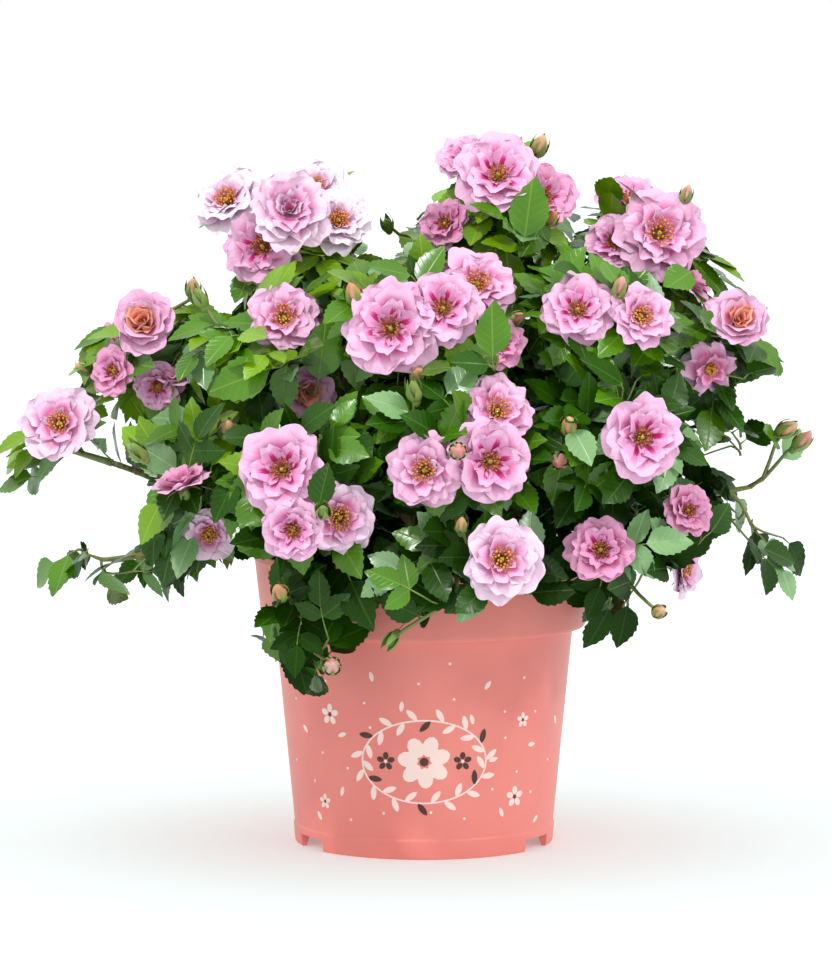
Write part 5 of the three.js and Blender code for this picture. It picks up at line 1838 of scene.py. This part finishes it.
# %% Finish the pot
def moulded_plastic():
    """Moulded polypropylene, coral pink: soft gloss, faint flow clouds and a fine orange peel."""
    material, tree, shader = new_finish("moulded_polypropylene_coral", "#e38077", 0.42, {"IOR": 1.49})
    here = add_node(tree, "ShaderNodeTexCoord").outputs["Object"]
    clouds = add_node(tree, "ShaderNodeTexNoise", {"Vector": here, "Scale": 14.0, "Detail": 3.0})
    ramp = add_node(tree, "ShaderNodeValToRGB", {"Fac": clouds.outputs["Fac"]})
    stops = ramp.color_ramp.elements
    stops[0].position, stops[0].color = 0.35, linear("#e37e75")
    stops[1].position, stops[1].color = 0.68, linear("#eb897f")
    tree.links.new(ramp.outputs["Color"], shader.inputs["Base Color"])
    peel = add_node(tree, "ShaderNodeTexNoise", {"Vector": here, "Scale": 900.0}).outputs["Fac"]
    bump = add_node(tree, "ShaderNodeBump", {"Height": peel, "Strength": 0.12, "Distance": 0.0003})
    tree.links.new(bump.outputs["Normal"], shader.inputs["Normal"])
    rough = add_node(
        tree, "ShaderNodeMapRange",
        {"Value": clouds.outputs["Fac"], "From Min": 0.3, "From Max": 0.7, "To Min": 0.38, "To Max": 0.5},
    )
    tree.links.new(rough.outputs[0], shader.inputs["Roughness"])
    return material


coral_plastic = moulded_plastic()

# %% [markdown]
# ## Pot: notches and drain holes
# Three notches let water out from under the foot, and four holes let it out of the compost.
# Both are cut with a Boolean, whose exact solver needs closed shapes that face outwards.

# %% Cut the pot
NOTCHES, NOTCH_HALF, NOTCH_HEIGHT = (-30, 90, 210), 9.5, 8  # bearings and half width in degrees
NOTCH_NEAR, NOTCH_FAR, NOTCH_STEPS = POT["foot"] - 16, POT["foot"] + 8, 9
DRAINS, DRAIN_RADIUS, DRAIN_RING = 4, 5, 55
BELOW = -1  # cutters start under the pot
shell = new_piece("pot_shell", [lathe(pot_profile, POT_SIDES)], coral_plastic)
cutters = []
for bearing in NOTCHES:
    turn = np.radians(bearing + np.linspace(-NOTCH_HALF, NOTCH_HALF, NOTCH_STEPS))
    corners = ((NOTCH_FAR, BELOW), (NOTCH_FAR, NOTCH_HEIGHT), (NOTCH_NEAR, NOTCH_HEIGHT), (NOTCH_NEAR, BELOW))
    at = np.stack([ring_of(r, turn, z) for r, z in corners], axis=1).reshape(-1, 3)
    cutters.append((at, closed_faces(NOTCH_STEPS, len(corners)), np.zeros((len(at), 2))))
for centre in ring_of(DRAIN_RING, np.radians(np.arange(DRAINS) * 360 / DRAINS), 0):
    hole, faces, uv = lathe(((DRAIN_RADIUS, 2 * BELOW), (DRAIN_RADIUS, POT["floor"] + 4)), 20)
    cutters.append((hole + centre, faces, uv))
cutter = new_piece("pot_cutter", cutters, coral_plastic)
for mesh in (shell.data, cutter.data):
    turned_right = bmesh.new()
    turned_right.from_mesh(mesh)
    bmesh.ops.recalc_face_normals(turned_right, faces=turned_right.faces)
    turned_right.to_mesh(mesh)
    turned_right.free()
cut = shell.modifiers.new("cut", "BOOLEAN")
cut.operation, cut.solver, cut.object = "DIFFERENCE", "EXACT", cutter
pot_mesh = plain_mesh("moulded_pot", shell)
for spare in (shell, cutter):
    bpy.data.objects.remove(spare)
pot_mesh.set_sharp_from_angle(angle=math.radians(32))
pot = in_scene("moulded_pot", pot_mesh)
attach(pot, "root")
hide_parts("pot")
print("faces in the pot:", len(pot_mesh.polygons))

# %% [markdown]
# ## Pot: the print
# Nursery pots carry a print on the front. This one has a plain garland of leaves round a
# simple flower, with flecks and dots beside it, in two inks. Each shape is a thin raised
# patch that follows the cone of the pot, so its edge stays sharp.

# %% Shapes in ink
INK = 0.22  # how far the ink stands out, in mm, drawn thicker than real so that it shows
STEP_ENDS, STEP_FADES = 140, 128  # the wall's step above the foot band fades out up to here


def on_pot(flat, proud):
    """Points given as (round the pot, up), in mm from the middle of the front."""
    x, z = flat.T
    radius = body_radius(z)
    angle = x / radius - np.pi / 2
    radius = radius - BAND_STEP * (z > BAND_TOP) * np.clip((STEP_ENDS - z) / STEP_FADES, 0, 1) + proud
    return np.stack((radius * np.cos(angle), radius * np.sin(angle), z), axis=1)


def ink_patch(outline):
    """A raised patch with this outline, anticlockwise as seen from the front."""
    n = len(outline)
    middle = outline.mean(axis=0, keepdims=True)
    at = np.concatenate((on_pot(middle, INK), on_pot(outline, INK), on_pot(outline, -0.3)))
    ring = np.arange(n)
    after = (ring + 1) % n
    top = np.stack((0 * ring, 1 + ring, 1 + after), axis=1)
    side = np.stack((1 + after, 1 + ring, 1 + n + ring, 1 + n + after), axis=1)
    return at, [top, side], np.zeros((len(at), 2))


def oval(centre, long, wide, turn, pointed=1.0, n=14):
    """An outline with half width and half height, pointed at both ends if asked."""
    a = 2 * np.pi * np.arange(n) / n
    x, y = long * np.cos(a), wide * np.sin(a) * np.abs(np.sin(a)) ** (pointed - 1)
    c, s = math.cos(turn), math.sin(turn)
    return np.stack((centre[0] + x * c - y * s, centre[1] + x * s + y * c), axis=1)


def ribbon(points, width):
    """Short joined patches along a line."""
    made = []
    for a, b in zip(points, points[1:]):
        way = (b - a) / norm(b - a)
        side = np.array((-way[1], way[0])) * width / 2
        a, b = a - way * 0.2, b + way * 0.2
        made.append(ink_patch(np.array((a - side, b - side, b + side, a + side))))
    return made


def printed_flower(centre, size, petals, petal_ink, eye_ink):
    for i in range(petals):
        a = 2 * np.pi * i / petals + 0.3
        middle = np.array(centre) + 0.62 * size * np.array((math.cos(a), math.sin(a)))
        petal_ink.append(ink_patch(oval(middle, 0.4 * size, 0.3 * size, a, 1.0, 12)))
    eye_ink.append(ink_patch(oval(centre, 0.17 * size, 0.17 * size, 0, 1.0, 12)))


# %% [markdown]
# ## Pot: the garland
# A line runs round an ellipse, with leaves on both sides of it by turns and a flower in the
# middle. Small flowers stand in it and beside it. Flecks and dots thin out round it by the
# golden angle.

# %% Print the garland
HUB = np.array((0.0, 64.0))  # (across, up) of its middle
GARLAND = np.array((41, 27))  # its half width and half height
GARLAND_LEAVES, LEAF_TILT = 30, 0.85
FLECKS = 46  # and dots, not all of which find room
FLECKS_WITHIN = (118, 20, 132)  # how far round, and from what height to what
FLOWERS = ((-25, 64, 6), (25, 64, 6), (-66, 92, 7), (64, 38, 7), (-72, 34, 5), (70, 88, 5))
INNER_SIZE = 6  # of the two flowers inside the garland, which are dark with a pale eye
pale_ink, dark_ink = [], []
line_turn = np.linspace(0, 2 * np.pi, 61)
pale_ink += ribbon(HUB + GARLAND * np.stack((np.cos(line_turn), np.sin(line_turn)), axis=1), 1.1)
for i in range(GARLAND_LEAVES):
    a = 2 * np.pi * i / GARLAND_LEAVES
    place = HUB + GARLAND * (math.cos(a), math.sin(a))
    way = math.atan2(GARLAND[1] * math.cos(a), -GARLAND[0] * math.sin(a))
    tilt = way + (LEAF_TILT if i % 2 else -LEAF_TILT)
    centre = place + 5.2 * np.array((math.cos(tilt), math.sin(tilt)))
    (dark_ink if i % 5 == 2 else pale_ink).append(ink_patch(oval(centre, 4.8, 2.0, tilt, 1.5)))
printed_flower(HUB, 17.0, 7, pale_ink, dark_ink)
for x, z, size in FLOWERS:
    inks = (dark_ink, pale_ink) if size == INNER_SIZE else (pale_ink, dark_ink)
    printed_flower((x, z), size, 5, *inks)
print_rng = np.random.default_rng(3)
widest, lowest, highest = FLECKS_WITHIN
for i in range(FLECKS):
    angle = i * LEAF_TURN
    spot = HUB + np.array((1.5 * math.cos(angle), math.sin(angle))) * (31 + 1.05 * i)
    if not lowest < spot[1] < highest or abs(spot[0]) > widest:
        continue
    turn = print_rng.uniform(0, 3.1)
    dot, fleck = oval(spot, 0.95, 0.95, 0, 1.0, 10), oval(spot, 3.4, 1.5, turn, 1.5)
    pale_ink.append(ink_patch(dot if i % 3 else fleck))


def ink(name, colour):
    """Screen ink: semi-matt, a touch uneven where it took less well."""
    material, tree, shader = new_finish(name, colour, 0.5)
    here = add_node(tree, "ShaderNodeTexCoord").outputs["Object"]
    noise = add_node(tree, "ShaderNodeTexNoise", {"Vector": here, "Scale": 250.0, "Detail": 2.0})
    rough = add_node(
        tree, "ShaderNodeMapRange",
        {"Value": noise.outputs["Fac"], "From Min": 0.3, "From Max": 0.7, "To Min": 0.42, "To Max": 0.6},
    )
    tree.links.new(rough.outputs[0], shader.inputs["Roughness"])
    return material


for name, shapes, finish in (
    ("print_blush", pale_ink, ink("screen_ink_blush", "#f6dad2")),
    ("print_brown", dark_ink, ink("screen_ink_brown", "#4a2a22")),
):
    piece = new_piece(name, shapes, finish)
    for polygon in piece.data.polygons:
        polygon.use_smooth = False
    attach(piece, "root")

# %% [markdown]
# ## Compost
# The pot is filled to just under its rim with dark peaty compost. Its top is an uneven disc
# that falls a little to the wall, with loose crumbs scattered on it by the tree from above.

# %% Fill the pot
COMPOST_GAP = 0.6  # between the compost and the wall
COMPOST_SIDES, TOP_RINGS = 72, 26
LEVEL_WITHIN = 30  # the top is level up to this radius, and falls from there
ROUGH_TOP = (-1.6, 1.2)  # mm of chance in the height of its top
soil_rng = np.random.default_rng(2)
inside_body, inner = wall + COMPOST_GAP, collar_foot - wall - COMPOST_GAP
collar_slope = (rim - collar_foot) / (POT["collar_height"] - 4)
edge = inner + collar_slope * (SOIL_EDGE - collar_z - 4 - COMPOST_GAP)
radii = np.linspace(edge, 0.5, TOP_RINGS)
heights = SOIL_EDGE + (SOIL_TOP - SOIL_EDGE) * np.clip((edge - radii) / (edge - LEVEL_WITHIN), 0, 1)
side_profile = [
    (body_radius(POT["floor"]) - inside_body, POT["floor"] + 0.3),
    (POT["shoulder"] - inside_body, collar_z + 2.3), (inner, collar_z + 4.6),
]
profile = side_profile + list(zip(radii, heights))
compost_at, compost_faces, compost_uv = lathe(profile, COMPOST_SIDES)
rows = compost_at.reshape(len(profile), COMPOST_SIDES, 3)
rough_top = soil_rng.uniform(*ROUGH_TOP, (TOP_RINGS, COMPOST_SIDES))
rough_top[0] = 0
rough_top[-1] = rough_top[-1].mean()
top_rows = rows[len(side_profile):]
top_rows[..., 2] += rough_top
peat = fibrous("peaty_compost", "#4a3626", "#1d130c", 0.002)
compost = new_piece("compost_bed", [(rows.reshape(-1, 3), compost_faces, compost_uv)], peat)
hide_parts("soil")
top_faces = grid_faces(TOP_RINGS, COMPOST_SIDES, closed=True)
top = new_piece("compost_top", [(top_rows.reshape(-1, 3), [top_faces], compost_uv)], peat)
ball = ("GeometryNodeMeshIcoSphere", {"Radius": 0.001, "Subdivisions": 1})
crumb_tree, crumb_keys = scatter_tree("crumbs", ball, peat, False)
crumbs = scattered_piece(
    "compost_crumbs", top, crumb_tree, crumb_keys,
    Per_square_metre=26000.0, Smallest=0.8, Largest=2.4, Seed=9,
)
bpy.data.objects.remove(top)
for piece in (compost, crumbs):
    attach(piece, "root")

# %% [markdown]
# ## Size
# The box round the plain model and the box round the dressed plant are both printed. The
# dressed plant has to stay within the plain model's box, but for a small margin.

# %% Print both boxes
visual_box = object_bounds()
for label, box in (("plain", cad_box), ("dressed", visual_box)):
    print(label, [[round(c, 4) for c in corner] for corner in box])
